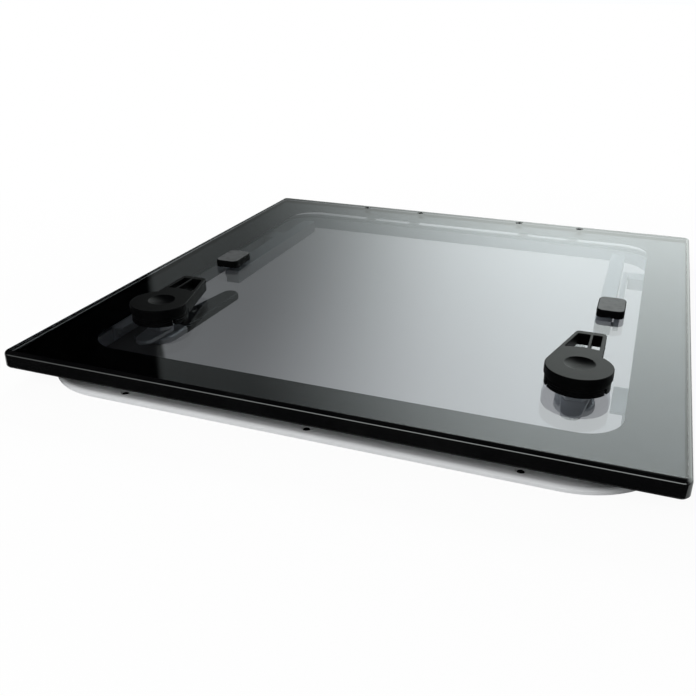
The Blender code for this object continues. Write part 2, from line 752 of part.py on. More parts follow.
def make_handle(latch, name, side):
    """Thumb disc and lever. The lever's skirt hangs lower than the disc, outside the escutcheon."""
    centre = (LATCH_X, LATCH_Y)
    skirt = HANDLE_UNDERSIDE - LEVER_SKIRT
    full = turned_outline(handle_outline(), 0, centre)
    rounded = turned_outline(handle_outline(HANDLE_EDGE), 0, centre)
    body = skin([
        at_height(full, skirt),
        at_height(full, HANDLE_TOP - HANDLE_EDGE),
        at_height(rounded, HANDLE_TOP),
    ])
    handle = piece(f"handle_{name}", sided(body, side), "black_plastic", latch)
    clear = HANDLE_RADIUS + GAP
    cut(handle, sided(round_hole(*centre, clear, skirt, HANDLE_UNDERSIDE - OVERCUT), side), "underside")
    socket = [(BUSH_BORE, HANDLE_UNDERSIDE - OVERCUT), (BUSH_BORE, HANDLE_UNDERSIDE + SOCKET_DEPTH)]
    cut(handle, sided(turned(socket, centre), side), "socket")
    windows = [
        prism(turned_outline(window, 0, centre), skirt - OVERCUT, HANDLE_TOP + OVERCUT)
        for window in lever_windows()
    ]
    cut(handle, sided(joined(windows), side), "windows")
    ball = (DISH_RADIUS**2 + DISH_DEPTH**2) / (2 * DISH_DEPTH)
    half_angle = math.asin(DISH_RADIUS / ball)
    bowl = []
    for step in range(1, EDGE_STEPS + 1):
        angle = half_angle * step / EDGE_STEPS
        bowl.append((ball * math.sin(angle), HANDLE_TOP - DISH_DEPTH + ball * (1 - math.cos(angle))))
    bowl.append((DISH_RADIUS, HANDLE_TOP + OVERCUT))
    dish = turned(bowl, (LATCH_X, LATCH_Y + DISH_OFFSET))
    cut(handle, sided(dish, side), "dish")


def square_hole(low, high):
    half = SPINDLE_SQUARE / 2 + GAP
    return block((LATCH_X - half, LATCH_Y - half, low), (LATCH_X + half, LATCH_Y + half, high))


def make_spindle(latch, name, side):
    """Round in the bush, square below it for the tongue and the inner lever, bored for the clamping screw."""
    top = HANDLE_UNDERSIDE + SOCKET_DEPTH - GAP
    bottom = SPINDLE_SCREW_SEAT + GAP
    half = SPINDLE_SQUARE / 2
    shaft = turned([(SPINDLE_RADIUS, BUSH_BOTTOM), (SPINDLE_RADIUS, top)], (LATCH_X, LATCH_Y))
    spindle = piece(f"spindle_{name}", sided(shaft, side), "stainless", latch)
    drive = block(
        (LATCH_X - half, LATCH_Y - half, bottom),
        (LATCH_X + half, LATCH_Y + half, BUSH_BOTTOM + SPINDLE_RADIUS),
    )
    fuse(spindle, sided(drive, side), "drive")
    bore = round_hole(
        LATCH_X,
        LATCH_Y,
        SPINDLE_SCREW_RADIUS + GAP,
        bottom,
        bottom + SPINDLE_SCREW_DEPTH - OVERCUT,
    )
    cut(spindle, sided(bore, side), "screw_bore")
    head_top = SPINDLE_SCREW_SEAT - GAP
    screw = [
        (SPINDLE_SCREW_HEAD_RADIUS, head_top - SPINDLE_SCREW_HEAD),
        (SPINDLE_SCREW_HEAD_RADIUS, head_top),
        (SPINDLE_SCREW_RADIUS, head_top),
        (SPINDLE_SCREW_RADIUS, bottom + SPINDLE_SCREW_DEPTH - 2 * GAP),
    ]
    piece(f"spindle_screw_{name}", sided(turned(screw, (LATCH_X, LATCH_Y)), side), "stainless", latch)


def make_tongue(latch, name, side):
    outline = link(TONGUE_REACH - TONGUE_TIP_RADIUS, TONGUE_HUB_RADIUS, TONGUE_TIP_RADIUS)
    outline = turned_outline(outline, math.pi, (LATCH_X, LATCH_Y))
    tongue = piece(
        f"latch_tongue_{name}",
        sided(prism(outline, TONGUE_BOTTOM, TONGUE_TOP), side),
        "stainless",
        latch,
    )
    cut(tongue, sided(square_hole(TONGUE_BOTTOM - OVERCUT, TONGUE_TOP + OVERCUT), side), "drive")


def make_inner_lever(latch, name, side):
    """Lever inside the boat: a hub on the spindle's square and a tapered arm with softened edges."""
    loops = []
    for shrink, height in (
        (INNER_LEVER_EDGE, INNER_LEVER_BOTTOM),
        (0, INNER_LEVER_BOTTOM + INNER_LEVER_EDGE),
        (0, INNER_LEVER_TOP - INNER_LEVER_EDGE),
        (INNER_LEVER_EDGE, INNER_LEVER_TOP),
    ):
        outline = link(
            INNER_LEVER_LENGTH - INNER_LEVER_TIP_RADIUS,
            INNER_LEVER_HUB_RADIUS - shrink,
            INNER_LEVER_TIP_RADIUS - shrink,
        )
        loops.append(at_height(turned_outline(outline, INNER_LEVER_SPLAY, (LATCH_X, LATCH_Y)), height))
    lever = piece(f"inner_lever_{name}", sided(skin(loops), side), "anodised", latch)
    cut(lever, sided(square_hole(SPINDLE_SCREW_SEAT - GAP, INNER_LEVER_TOP + OVERCUT), side), "drive")
    recess = [
        (SPINDLE_SCREW_HEAD_RADIUS + GAP, INNER_LEVER_BOTTOM - OVERCUT),
        (SPINDLE_SCREW_HEAD_RADIUS + GAP, SPINDLE_SCREW_SEAT),
    ]
    cut(lever, sided(turned(recess, (LATCH_X, LATCH_Y)), side), "screw_recess")


def make_keeper(name, side):
    """Bent plate on the frame's side wall. Its shelf holds the tongue down when the latch is turned."""
    shelf_low = TONGUE_TOP + KEEPER_SHELF_CLEARANCE
    shelf_top = shelf_low + KEEPER_SHELF_THICKNESS
    outer = INNER_WALL_X - GAP
    inner = outer - KEEPER_PLATE
    lip = inner - KEEPER_SHELF
    section = [
        (outer, KEEPER_FOOT),
        (outer, shelf_top),
        (lip, shelf_top),
        (lip, shelf_low),
        (inner, shelf_low),
        (inner, KEEPER_FOOT),
    ]
    ends = (LATCH_Y - KEEPER_LENGTH / 2, LATCH_Y + KEEPER_LENGTH / 2)
    bent = skin([[(x, y, z) for x, z in section] for y in ends])
    keeper = piece(f"keeper_{name}", sided(bent, side), "stainless")
    holes = []
    for place, y in keeper_screw_points():
        head_place = (inner, y, KEEPER_SCREW_HEIGHT)
        shank = FRAME_SCREW_RADIUS + GAP
        head = FRAME_SCREW_HEAD_RADIUS + GAP
        hole = countersunk_hole(0, 0, shank, head, -KEEPER_PLATE, 0)
        holes.append(facing_in(hole, *head_place))
        screw = countersunk_screw(
            0, 0, FRAME_SCREW_RADIUS, FRAME_SCREW_HEAD_RADIUS, -KEEPER_PLATE - GAP - FRAME_SCREW_GRIP, 0
        )
        screw = sided(facing_in(screw, *head_place), side)
        piece(f"keeper_screw_{name}_{place}", screw, "stainless")
    cut(keeper, sided(joined(holes), side), "screw_holes")


def make_latch(lid, name, side):
    make_bush(lid, name, side)
    make_escutcheon(lid, name, side)
    latch = joint_empty(f"{name}_latch_axis", (side * LATCH_X, LATCH_Y, HANDLE_TOP), lid)
    make_handle(latch, name, side)
    make_spindle(latch, name, side)
    make_tongue(latch, name, side)
    make_inner_lever(latch, name, side)
    make_keeper(name, side)


# Hinges.


def make_frame_leaf(name, side):
    """Plate on the flange with two arms that reach back to the outer knuckles."""
    middle = HINGE_SPREAD / 2
    seat = FLANGE_THICKNESS + GAP
    front = FRAME_BACK - FLANGE_WIDTH + RIM_EDGE + GAP
    back = FRAME_BACK - FLANGE_ROUND
    plate = block(
        (middle - HINGE_LENGTH / 2, front, seat),
        (middle + HINGE_LENGTH / 2, back, seat + HINGE_LEAF_THICKNESS),
    )
    leaf = piece(f"hinge_frame_leaf_{name}", sided(plate, side), "stainless")
    start = HINGE_LID_KNUCKLE / 2 + GAP
    for place, step in (("inner", -1), ("outer", 1)):
        ends = sorted((middle + step * start, middle + step * (start + HINGE_FRAME_KNUCKLE)))
        arm = block(
            (ends[0], back - OVERCUT, seat),
            (ends[1], HINGE_Y, seat + HINGE_LEAF_THICKNESS),
        )
        fuse(leaf, sided(arm, side), f"{place}_arm")
        knuckle = rod(HINGE_KNUCKLE_RADIUS, *ends, HINGE_Y, HINGE_AXIS_HEIGHT)
        fuse(leaf, sided(knuckle, side), f"{place}_knuckle")
    bore = rod(
        HINGE_PIN_RADIUS + GAP,
        middle - HINGE_LENGTH / 2,
        middle + HINGE_LENGTH / 2,
        HINGE_Y,
        HINGE_AXIS_HEIGHT,
    )
    cut(leaf, sided(bore, side), "pin_bore")
    top = seat + HINGE_LEAF_THICKNESS
    shank = FRAME_SCREW_RADIUS + GAP
    head = FRAME_SCREW_HEAD_RADIUS + GAP
    holes = []
    for label, x, y in leaf_screw_points():
        if label.startswith(name):
            holes.append(countersunk_hole(x, y, shank, head, seat, top))
            low = top - HINGE_LEAF_THICKNESS - GAP - FRAME_SCREW_GRIP
            screw = countersunk_screw(x, y, FRAME_SCREW_RADIUS, FRAME_SCREW_HEAD_RADIUS, low, top)
            piece(f"leaf_screw_{label}", screw, "stainless")
    cut(leaf, joined(holes), "screw_holes")


def make_lid_leaf(lid, name, side):
    """Plate under the lid's back edge with the middle knuckle below it."""
    middle = HINGE_SPREAD / 2
    top = MASK_UNDERSIDE - GAP
    low = top - HINGE_LID_LEAF_THICKNESS
    plate = block(
        (middle - HINGE_LENGTH / 2, HINGE_Y - HINGE_LID_LEAF_FRONT, low),
        (middle + HINGE_LENGTH / 2, HINGE_Y + HINGE_LID_LEAF_BACK, top),
    )
    leaf = piece(f"hinge_lid_leaf_{name}", sided(plate, side), "stainless", lid)
    ends = (middle - HINGE_LID_KNUCKLE / 2, middle + HINGE_LID_KNUCKLE / 2)
    web = block(
        (ends[0], HINGE_Y - HINGE_KNUCKLE_RADIUS, HINGE_AXIS_HEIGHT),
        (ends[1], HINGE_Y + HINGE_KNUCKLE_RADIUS, low + HINGE_LID_LEAF_THICKNESS / 2),
    )
    fuse(leaf, sided(web, side), "web")
    knuckle = rod(HINGE_KNUCKLE_RADIUS, *ends, HINGE_Y, HINGE_AXIS_HEIGHT)
    fuse(leaf, sided(knuckle, side), "knuckle")
    bore = rod(HINGE_PIN_RADIUS + GAP, ends[0] - OVERCUT, ends[1] + OVERCUT, HINGE_Y, HINGE_AXIS_HEIGHT)
    cut(leaf, sided(bore, side), "pin_bore")
    holes = []
    for label, x, y in hinge_screw_points():
        if label.startswith(name):
            holes.append(round_hole(x, y, HINGE_SCREW_RADIUS + GAP, low, top))
            screw = countersunk_screw(
                x, y, HINGE_SCREW_RADIUS, HINGE_SCREW_HEAD_RADIUS, low + GAP, LENS_TOP
            )
            piece(f"hinge_screw_{label}", screw, "black_steel", lid)
    cut(leaf, joined(holes), "screw_holes")
    length = HINGE_LID_KNUCKLE / 2 + GAP + HINGE_FRAME_KNUCKLE
    pin = rod(HINGE_PIN_RADIUS, middle - length, middle + length, HINGE_Y, HINGE_AXIS_HEIGHT)
    piece(f"hinge_pin_{name}", sided(pin, side), "stainless", lid)


# Stays.


def make_track(lid, name, side):
    """Channel bonded under the lens. The roller runs inside it and the stud comes out of its outboard slot."""
    low_x = TRACK_X - TRACK_WIDTH / 2
    high_x = TRACK_X + TRACK_WIDTH / 2
    front = CAP_Y - TRACK_END
    back = ROLLER_NEAREST_Y + TRACK_END
    track = piece(
        f"stay_track_{name}",
        sided(block((low_x, front, TRACK_UNDERSIDE), (high_x, back, MASK_TOP)), side),
        "anodised",
        lid,
    )
    half = ROLLER_RADIUS + ROLLER_CLEARANCE
    slot = STAY_STUD_RADIUS + ROLLER_CLEARANCE
    inside_front = front + TRACK_WALL
    inside_back = back - TRACK_WALL
    channel = block(
        (low_x + TRACK_WALL, inside_front, HINGE_AXIS_HEIGHT - half),
        (high_x - TRACK_LIP, inside_back, HINGE_AXIS_HEIGHT + half),
    )
    mouth = block(
        (high_x - TRACK_LIP - OVERCUT, inside_front, HINGE_AXIS_HEIGHT - slot),
        (high_x + OVERCUT, inside_back, HINGE_AXIS_HEIGHT + slot),
    )
    cut(track, sided(channel, side), "channel")
    cut(track, sided(mouth, side), "slot")
    hole = round_hole(TRACK_X, CAP_Y, ANCHOR_RADIUS + GAP, MASK_TOP - TRACK_TOP, MASK_TOP)
    cut(track, sided(hole, side), "anchor_hole")


def make_cap(lid, name, side):
    """Moulded cap over the screw that anchors the track, with a pry notch in its front face."""
    base = LENS_TOP + GAP
    top = base + CAP_HEIGHT
    loops = [at_height(cap_outline(0), base)]
    for x, z in arc((0, 0), CAP_TOP_ROUND, 0, math.pi / 2, EDGE_STEPS):
        loops.append(at_height(cap_outline(CAP_TOP_ROUND - x), top - CAP_TOP_ROUND + z))
    cap = piece(f"stay_cap_{name}", sided(skin(loops), side), "black_plastic", lid)
    head_room = [
        (ANCHOR_HEAD_RADIUS + GAP, base - OVERCUT),
        (ANCHOR_HEAD_RADIUS + GAP, base + ANCHOR_HEAD_HEIGHT + GAP),
    ]
    cut(cap, sided(turned(head_room, (TRACK_X, CAP_Y)), side), "head_room")
    front = CAP_Y - CAP_DEPTH / 2
    notch = block(
        (CAP_X - CAP_NOTCH_WIDTH / 2, front - OVERCUT, base - OVERCUT),
        (CAP_X + CAP_NOTCH_WIDTH / 2, front + CAP_NOTCH_DEPTH, base + CAP_NOTCH_HEIGHT),
    )
    cut(cap, sided(notch, side), "pry_notch")
    anchor = [
        (ANCHOR_RADIUS, MASK_TOP - TRACK_TOP + GAP),
        (ANCHOR_RADIUS, base),
        (ANCHOR_HEAD_RADIUS, base),
        (ANCHOR_HEAD_RADIUS, base + ANCHOR_HEAD_HEIGHT),
    ]
    piece(f"anchor_screw_{name}", sided(turned(anchor, (TRACK_X, CAP_Y)), side), "stainless", lid)


def cap_outline(inset):
    return rounded_rectangle(
        CAP_WIDTH / 2 - inset,
        CAP_DEPTH / 2 - inset,
        CAP_CORNER_RADIUS - inset,
        (CAP_X, CAP_Y),
        steps=EDGE_STEPS + 2,
    )


def make_stay(name, side):
    """Arm with an eye on the frame's bracket and a stud that carries the roller."""
    stay = joint_empty(f"{name}_stay_axis", (side * STAY_ARM_INNER_X, STAY_PIVOT_Y, HINGE_AXIS_HEIGHT))
    outline = link(STAY_ARM_LENGTH, STAY_EYE_RADIUS, STAY_ARM_HALF_HEIGHT)
    outline = turned_outline(outline, math.pi / 2, (STAY_PIVOT_Y, HINGE_AXIS_HEIGHT))
    bar = facing_out(prism(outline, 0, STAY_ARM_THICKNESS), x=STAY_ARM_INNER_X)
    arm = piece(f"stay_arm_{name}", sided(bar, side), "stainless", stay)
    channel_inner = TRACK_X - TRACK_WIDTH / 2 + TRACK_WALL
    roller_inner = channel_inner + ROLLER_CLEARANCE
    roller_outer = TRACK_X + TRACK_WIDTH / 2 - TRACK_LIP - ROLLER_CLEARANCE
    stud = rod(
        STAY_STUD_RADIUS,
        roller_inner,
        STAY_ARM_INNER_X + STAY_ARM_THICKNESS / 2,
        CAP_Y,
        HINGE_AXIS_HEIGHT,
    )
    fuse(arm, sided(stud, side), "stud")
    eye = rod(
        STAY_STUD_RADIUS + GAP,
        STAY_ARM_INNER_X - OVERCUT,
        STAY_ARM_OUTER_X + OVERCUT,
        STAY_PIVOT_Y,
        HINGE_AXIS_HEIGHT,
    )
    cut(arm, sided(eye, side), "eye")
    roller = tube(
        ROLLER_RADIUS,
        STAY_STUD_RADIUS + GAP,
        roller_inner,
        roller_outer,
        CAP_Y,
        HINGE_AXIS_HEIGHT,
    )
    piece(f"stay_roller_{name}", sided(roller, side), "pale_plastic", stay)
    bracket = piece(
        f"stay_bracket_{name}",
        sided(
            block(
                (BRACKET_INNER_X, STAY_PIVOT_Y - BRACKET_LENGTH / 2, BRACKET_FOOT),
                (INNER_WALL_X - GAP, STAY_PIVOT_Y + BRACKET_LENGTH / 2, RIM_HEIGHT),
            ),
            side,
        ),
        "anodised",
    )
    pin_end = INNER_WALL_X - GAP - PIN_SEAT
    seat = rod(STAY_STUD_RADIUS + GAP, BRACKET_INNER_X - OVERCUT, pin_end, STAY_PIVOT_Y, HINGE_AXIS_HEIGHT)
    cut(bracket, sided(seat, side), "pin_seat")
    pin = rod(STAY_STUD_RADIUS, STAY_ARM_INNER_X + GAP, pin_end - GAP, STAY_PIVOT_Y, HINGE_AXIS_HEIGHT)
    piece(f"stay_pin_{name}", sided(pin, side), "stainless")


def main():
    make_frame()
    make_seal()
    lid = joint_empty("lid_hinge_axis", (0, HINGE_Y, HINGE_AXIS_HEIGHT))
    make_lens(lid)
    make_mask(lid)
    for name, side in SIDES:
        make_latch(lid, name, side)
        make_frame_leaf(name, side)
        make_lid_leaf(lid, name, side)
        make_track(lid, name, side)
        make_cap(lid, name, side)
        make_stay(name, side)


main()
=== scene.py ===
# %% [markdown]
# # A low deck hatch, lit as a studio product
# The hatch is a tinted acrylic lid on a pale flanged frame, with two black rotary latches, two small caps,
# a hinge at the back and two sliding stays. Its solids come from CAD and are already in place, in metres.
# This lesson gives each of them its finish and rebuilds the ones whose edges the camera sees closely.
# The CAD shapes stay the reference: a rebuilt piece keeps its solid's place and size.

# %% Load the CAD frame
import json
import math

import bmesh
import bpy
from mathutils import Matrix, Vector

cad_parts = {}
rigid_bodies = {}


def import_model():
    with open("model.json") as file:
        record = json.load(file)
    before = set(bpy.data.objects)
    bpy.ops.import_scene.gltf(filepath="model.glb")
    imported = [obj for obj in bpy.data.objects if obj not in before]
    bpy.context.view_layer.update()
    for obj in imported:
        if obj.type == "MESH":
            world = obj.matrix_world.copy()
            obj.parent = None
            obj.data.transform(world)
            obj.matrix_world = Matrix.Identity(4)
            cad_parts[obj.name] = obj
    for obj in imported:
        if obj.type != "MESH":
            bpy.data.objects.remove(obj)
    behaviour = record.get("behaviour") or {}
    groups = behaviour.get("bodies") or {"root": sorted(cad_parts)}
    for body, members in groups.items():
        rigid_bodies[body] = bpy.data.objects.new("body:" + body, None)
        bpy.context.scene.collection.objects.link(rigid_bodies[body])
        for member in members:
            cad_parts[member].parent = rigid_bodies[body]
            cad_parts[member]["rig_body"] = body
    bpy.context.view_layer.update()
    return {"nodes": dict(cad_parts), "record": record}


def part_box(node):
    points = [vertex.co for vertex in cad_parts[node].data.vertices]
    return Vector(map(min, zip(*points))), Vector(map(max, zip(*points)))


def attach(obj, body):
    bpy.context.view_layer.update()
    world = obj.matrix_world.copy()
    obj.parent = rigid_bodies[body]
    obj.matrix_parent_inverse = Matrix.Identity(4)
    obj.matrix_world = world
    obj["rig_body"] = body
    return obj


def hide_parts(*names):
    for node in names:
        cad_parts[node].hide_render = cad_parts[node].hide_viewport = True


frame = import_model()
scene = bpy.context.scene
scene.view_settings.view_transform = "Standard"
for plain in list(bpy.data.materials):
    bpy.data.materials.remove(plain)

# %% [markdown]
# ## Camera
# The photograph was taken from the front right, a little above the lid, with a normal lens. The four lid
# corners fix the place, the direction and the focal length, so the camera is written as a place and two
# directions. A matrix built from those is exact and needs no tracking constraint.

# %% Place the camera
CAMERA_PLACE = Vector((0.23320, -0.81248, 0.33781))
CAMERA_FORWARD = Vector((-0.31972, 0.85259, -0.41336)).normalized()
CAMERA_UP = Vector((-0.15026, 0.38512, 0.91055))
SENSOR_WIDTH = 36.0
FOCAL_LENGTH = 41.974
NEAREST_SEEN = 0.01


def add_camera():
    data = bpy.data.cameras.new("photo_camera")
    data.sensor_width = SENSOR_WIDTH
    data.lens = FOCAL_LENGTH
    data.clip_start = NEAREST_SEEN
    camera = bpy.data.objects.new("photo_camera", data)
    right = CAMERA_FORWARD.cross(CAMERA_UP).normalized()
    up = right.cross(CAMERA_FORWARD)
    turn = Matrix((right, up, -CAMERA_FORWARD)).transposed()
    camera.matrix_world = Matrix.Translation(CAMERA_PLACE) @ turn.to_4x4()
    scene.collection.objects.link(camera)
    scene.camera = camera
    return camera


print("camera:", add_camera().matrix_world.translation)

# %% [markdown]
# ## Node helpers
# Every finish below is a node tree. A few short helpers keep the trees readable: they add a node, set or
# link its inputs, do sums on sockets, and make a node group with named sockets.

# %% Helpers for node trees
BOUNCED = 0.5


def plug(tree, node, inputs):
    """Sets each input to its value, or links it where the value is a socket."""
    for key, value in inputs.items():
        if isinstance(value, bpy.types.NodeSocket):
            tree.links.new(value, node.inputs[key])
        else:
            node.inputs[key].default_value = value


def add_node(tree, kind, inputs=None, **settings):
    node = tree.nodes.new(kind)
    for name, value in settings.items():
        setattr(node, name, value)
    plug(tree, node, inputs or {})
    return node


def coordinates(tree, kind="Object"):
    return add_node(tree, "ShaderNodeTexCoord").outputs[kind]


def math_node(tree, operation, *values):
    return add_node(tree, "ShaderNodeMath", dict(enumerate(values)), operation=operation).outputs[0]


def product(tree, first, *others):
    for other in others:
        first = math_node(tree, "MULTIPLY", first, other)
    return first


def vector_math(tree, operation, *values):
    node = add_node(tree, "ShaderNodeVectorMath", dict(enumerate(values)), operation=operation)
    return node.outputs["Value" if operation in ("LENGTH", "DOT_PRODUCT") else "Vector"]


def axes_of(tree, vector):
    return add_node(tree, "ShaderNodeSeparateXYZ", {0: vector}).outputs


def smooth_ramp(tree, value, low, high, at_low=0.0, at_high=1.0):
    """Value carried smoothly from one level to another between two places."""
    ends = {"Value": value, "From Min": low, "From Max": high, "To Min": at_low, "To Max": at_high}
    return add_node(tree, "ShaderNodeMapRange", ends, interpolation_type="SMOOTHSTEP").outputs["Result"]


def mixed(tree, factor, first, second):
    """The first value where the factor is 0, and the second where it is 1."""
    return add_node(tree, "ShaderNodeMix", {0: factor, 2: first, 3: second}, data_type="FLOAT").outputs[0]


def mixed_colour(tree, factor, first, second):
    return add_node(tree, "ShaderNodeMix", {0: factor, 6: first, 7: second}, data_type="RGBA").outputs[2]


def noise(tree, place, scale, **others):
    """Noise from 0 to 1; the others are the texture's inputs by name."""
    return add_node(tree, "ShaderNodeTexNoise", {"Vector": place, "Scale": scale, **others}).outputs["Fac"]


def make_group(name, inputs, outputs, draw):
    """A shader group with its inputs' defaults by name; draw returns the sockets for its outputs."""
    tree = bpy.data.node_groups.new(name, "ShaderNodeTree")
    for label, default in inputs.items():
        kind = "NodeSocketVector" if isinstance(default, tuple) else "NodeSocketFloat"
        tree.interface.new_socket(label, in_out="INPUT", socket_type=kind).default_value = default
    for label in outputs:
        tree.interface.new_socket(label, in_out="OUTPUT", socket_type="NodeSocketFloat")
    given = tree.nodes.new("NodeGroupInput").outputs
    made = draw(tree, given, coordinates(tree))
    plug(tree, tree.nodes.new("NodeGroupOutput"), dict(zip(outputs, made)))
    print("group:", name)
    return tree


print("node helpers ready")

# %% [markdown]
# ## Studio sweep
# A glossy black lid is only as good as what it mirrors. In the photograph the lid reflects a lit sweep that
# is brightest behind the hatch, fades to the left and stops at a dark flag, while the picture's own
# background is plain white. A soft box low behind the camera draws the light line along the front edge. The
# world can hold all of these: rays from the camera or through the lens see white, rays that have bounced off
# a glossy surface see the tinted sweep and the box, and the rest get a plain fill, weaker under the lid.

# %% Build the world
SWEEP_LEVEL = 2.05
SWEEP_DARK = 0.16
SWEEP_FADE_START = math.radians(-29)
SWEEP_FADE_END = math.radians(-3)
FLAG_EDGE = math.radians(-35)
FLAG_SOFTNESS = math.radians(0.35)
SWEEP_SIDE_START = math.radians(70)
SWEEP_SIDE_END = math.radians(125)
SWEEP_SIDE_LEVEL = 0.01
SWEEP_TOP_START = math.radians(38)
SWEEP_TOP_END = math.radians(62)
SWEEP_TOP_LEVEL = 0.04
BOX_LEVEL = 4.2
BOX_LOW = math.radians(-4)
BOX_HIGH = math.radians(15)
BOX_SOFTNESS = math.radians(4)
BOX_LEFT = math.radians(-54)
BOX_FULL = math.radians(-8)
BOX_RIGHT = math.radians(40)
PLAIN_COLOUR = (0.985, 0.995, 1.0, 1.0)
SWEEP_COLOUR = (0.93, 1.0, 0.975, 1.0)
FILL_LEVEL = 0.36
UNDER_LID_SHARE = 0.2


def build_world():
    world = bpy.data.worlds.new("studio")
    world.use_nodes = True
    tree = world.node_tree
    tree.nodes.clear()
    axes = axes_of(tree, coordinates(tree, "Generated"))
    azimuth = math_node(tree, "ARCTAN2", axes["X"], axes["Y"])
    height = math_node(tree, "ARCSINE", axes["Z"])
    graded = smooth_ramp(tree, azimuth, SWEEP_FADE_START, SWEEP_FADE_END, SWEEP_DARK, SWEEP_LEVEL)
    flag = smooth_ramp(tree, azimuth, FLAG_EDGE - FLAG_SOFTNESS, FLAG_EDGE + FLAG_SOFTNESS)
    side = smooth_ramp(tree, azimuth, SWEEP_SIDE_START, SWEEP_SIDE_END, 1.0, SWEEP_SIDE_LEVEL)
    top = smooth_ramp(tree, height, SWEEP_TOP_START, SWEEP_TOP_END, 1.0, SWEEP_TOP_LEVEL)
    rising = smooth_ramp(tree, height, BOX_LOW, BOX_LOW + BOX_SOFTNESS)
    ending = smooth_ramp(tree, height, BOX_HIGH, BOX_HIGH - BOX_SOFTNESS)
    from_front = math_node(tree, "ARCTAN2", axes["X"], product(tree, axes["Y"], -1.0))
    across = smooth_ramp(tree, from_front, BOX_LEFT, BOX_FULL, 0.0, BOX_LEVEL)
    box = product(tree, rising, ending, across, math_node(tree, "LESS_THAN", from_front, BOX_RIGHT))
    sweep = math_node(tree, "ADD", product(tree, graded, flag, side, top), box)
    path = add_node(tree, "ShaderNodeLightPath").outputs
    seen = math_node(tree, "MAXIMUM", path["Is Camera Ray"], path["Is Transmission Ray"])
    seen = product(tree, seen, math_node(tree, "LESS_THAN", path["Diffuse Depth"], BOUNCED))
    mirrored = math_node(tree, "GREATER_THAN", path["Glossy Depth"], BOUNCED)
    under_lid = math_node(tree, "GREATER_THAN", path["Transmission Depth"], BOUNCED)
    fill = mixed(tree, under_lid, FILL_LEVEL, FILL_LEVEL * UNDER_LID_SHARE)
    strength = mixed(tree, mirrored, mixed(tree, seen, fill, 1.0), sweep)
    colour = mixed_colour(tree, mirrored, PLAIN_COLOUR, SWEEP_COLOUR)
    background = add_node(tree, "ShaderNodeBackground", {"Color": colour, "Strength": strength})
    plug(tree, add_node(tree, "ShaderNodeOutputWorld"), {"Surface": background.outputs[0]})
    scene.world = world
    return world


print("world:", build_world().name)

# %% [markdown]
# ## Floor, card and lamps
# The hatch stands on a white table. Mixing glow into the table for camera rays keeps it white in the picture
# while the hatch's own soft shadow still shows; there is none under the hatch. Through the lens the table's
# glow is painted light, graded from dim on the left to bright on the right, and a painted shadow darkens its
# left front corner. A key lamp behind on the left lights the tops, and a wide one in front on the left fills
# the frame. A black card keeps the table out of the lid's front edge.

# %% Build the floor
FLOOR_HALF = 14.0
GLOW_NEAR = 0.40
GLOW_FAR = 0.90
FLOOR_ALBEDO = 0.86
FLOOR_GLOW = 0.95
# Glow seen through the lens: painted light graded from the left to the right.
THROUGH_LENS_LEFT = 0.24
THROUGH_LENS_RIGHT = 0.62
THROUGH_LENS_SHARE = 0.85
PAINTED_LIGHT_SIDE = (1.0, 0.2, 0.0)
PAINTED_LIGHT_START = -0.18
PAINTED_LIGHT_END = 0.06
FOOT_MIDDLE = (0.0, -0.010, 0.0)
FOOT_HALF = (0.277, 0.283, 1.0)
FOOT_POWER = 8.0
# Painted shadow: a line across the table's left front corner under the lens, dark on its outer side.
PAINTED_SHADOW_SIDE = (0.805, 0.594, 0.0)
PAINTED_SHADOW_LINE = -0.2715
PAINTED_SHADOW_BLUR = 0.0025
PAINTED_SHADOW_SHARE = 0.03


def flat_sheet(name, low_x, low_y, high_x, high_y, height):
    mesh = bpy.data.meshes.new(name)
    corners = ((low_x, low_y), (high_x, low_y), (high_x, high_y), (low_x, high_y))
    mesh.from_pydata([(x, y, height) for x, y in corners], [], [(0, 1, 2, 3)])
    sheet = bpy.data.objects.new(name, mesh)
    scene.collection.objects.link(sheet)
    return sheet


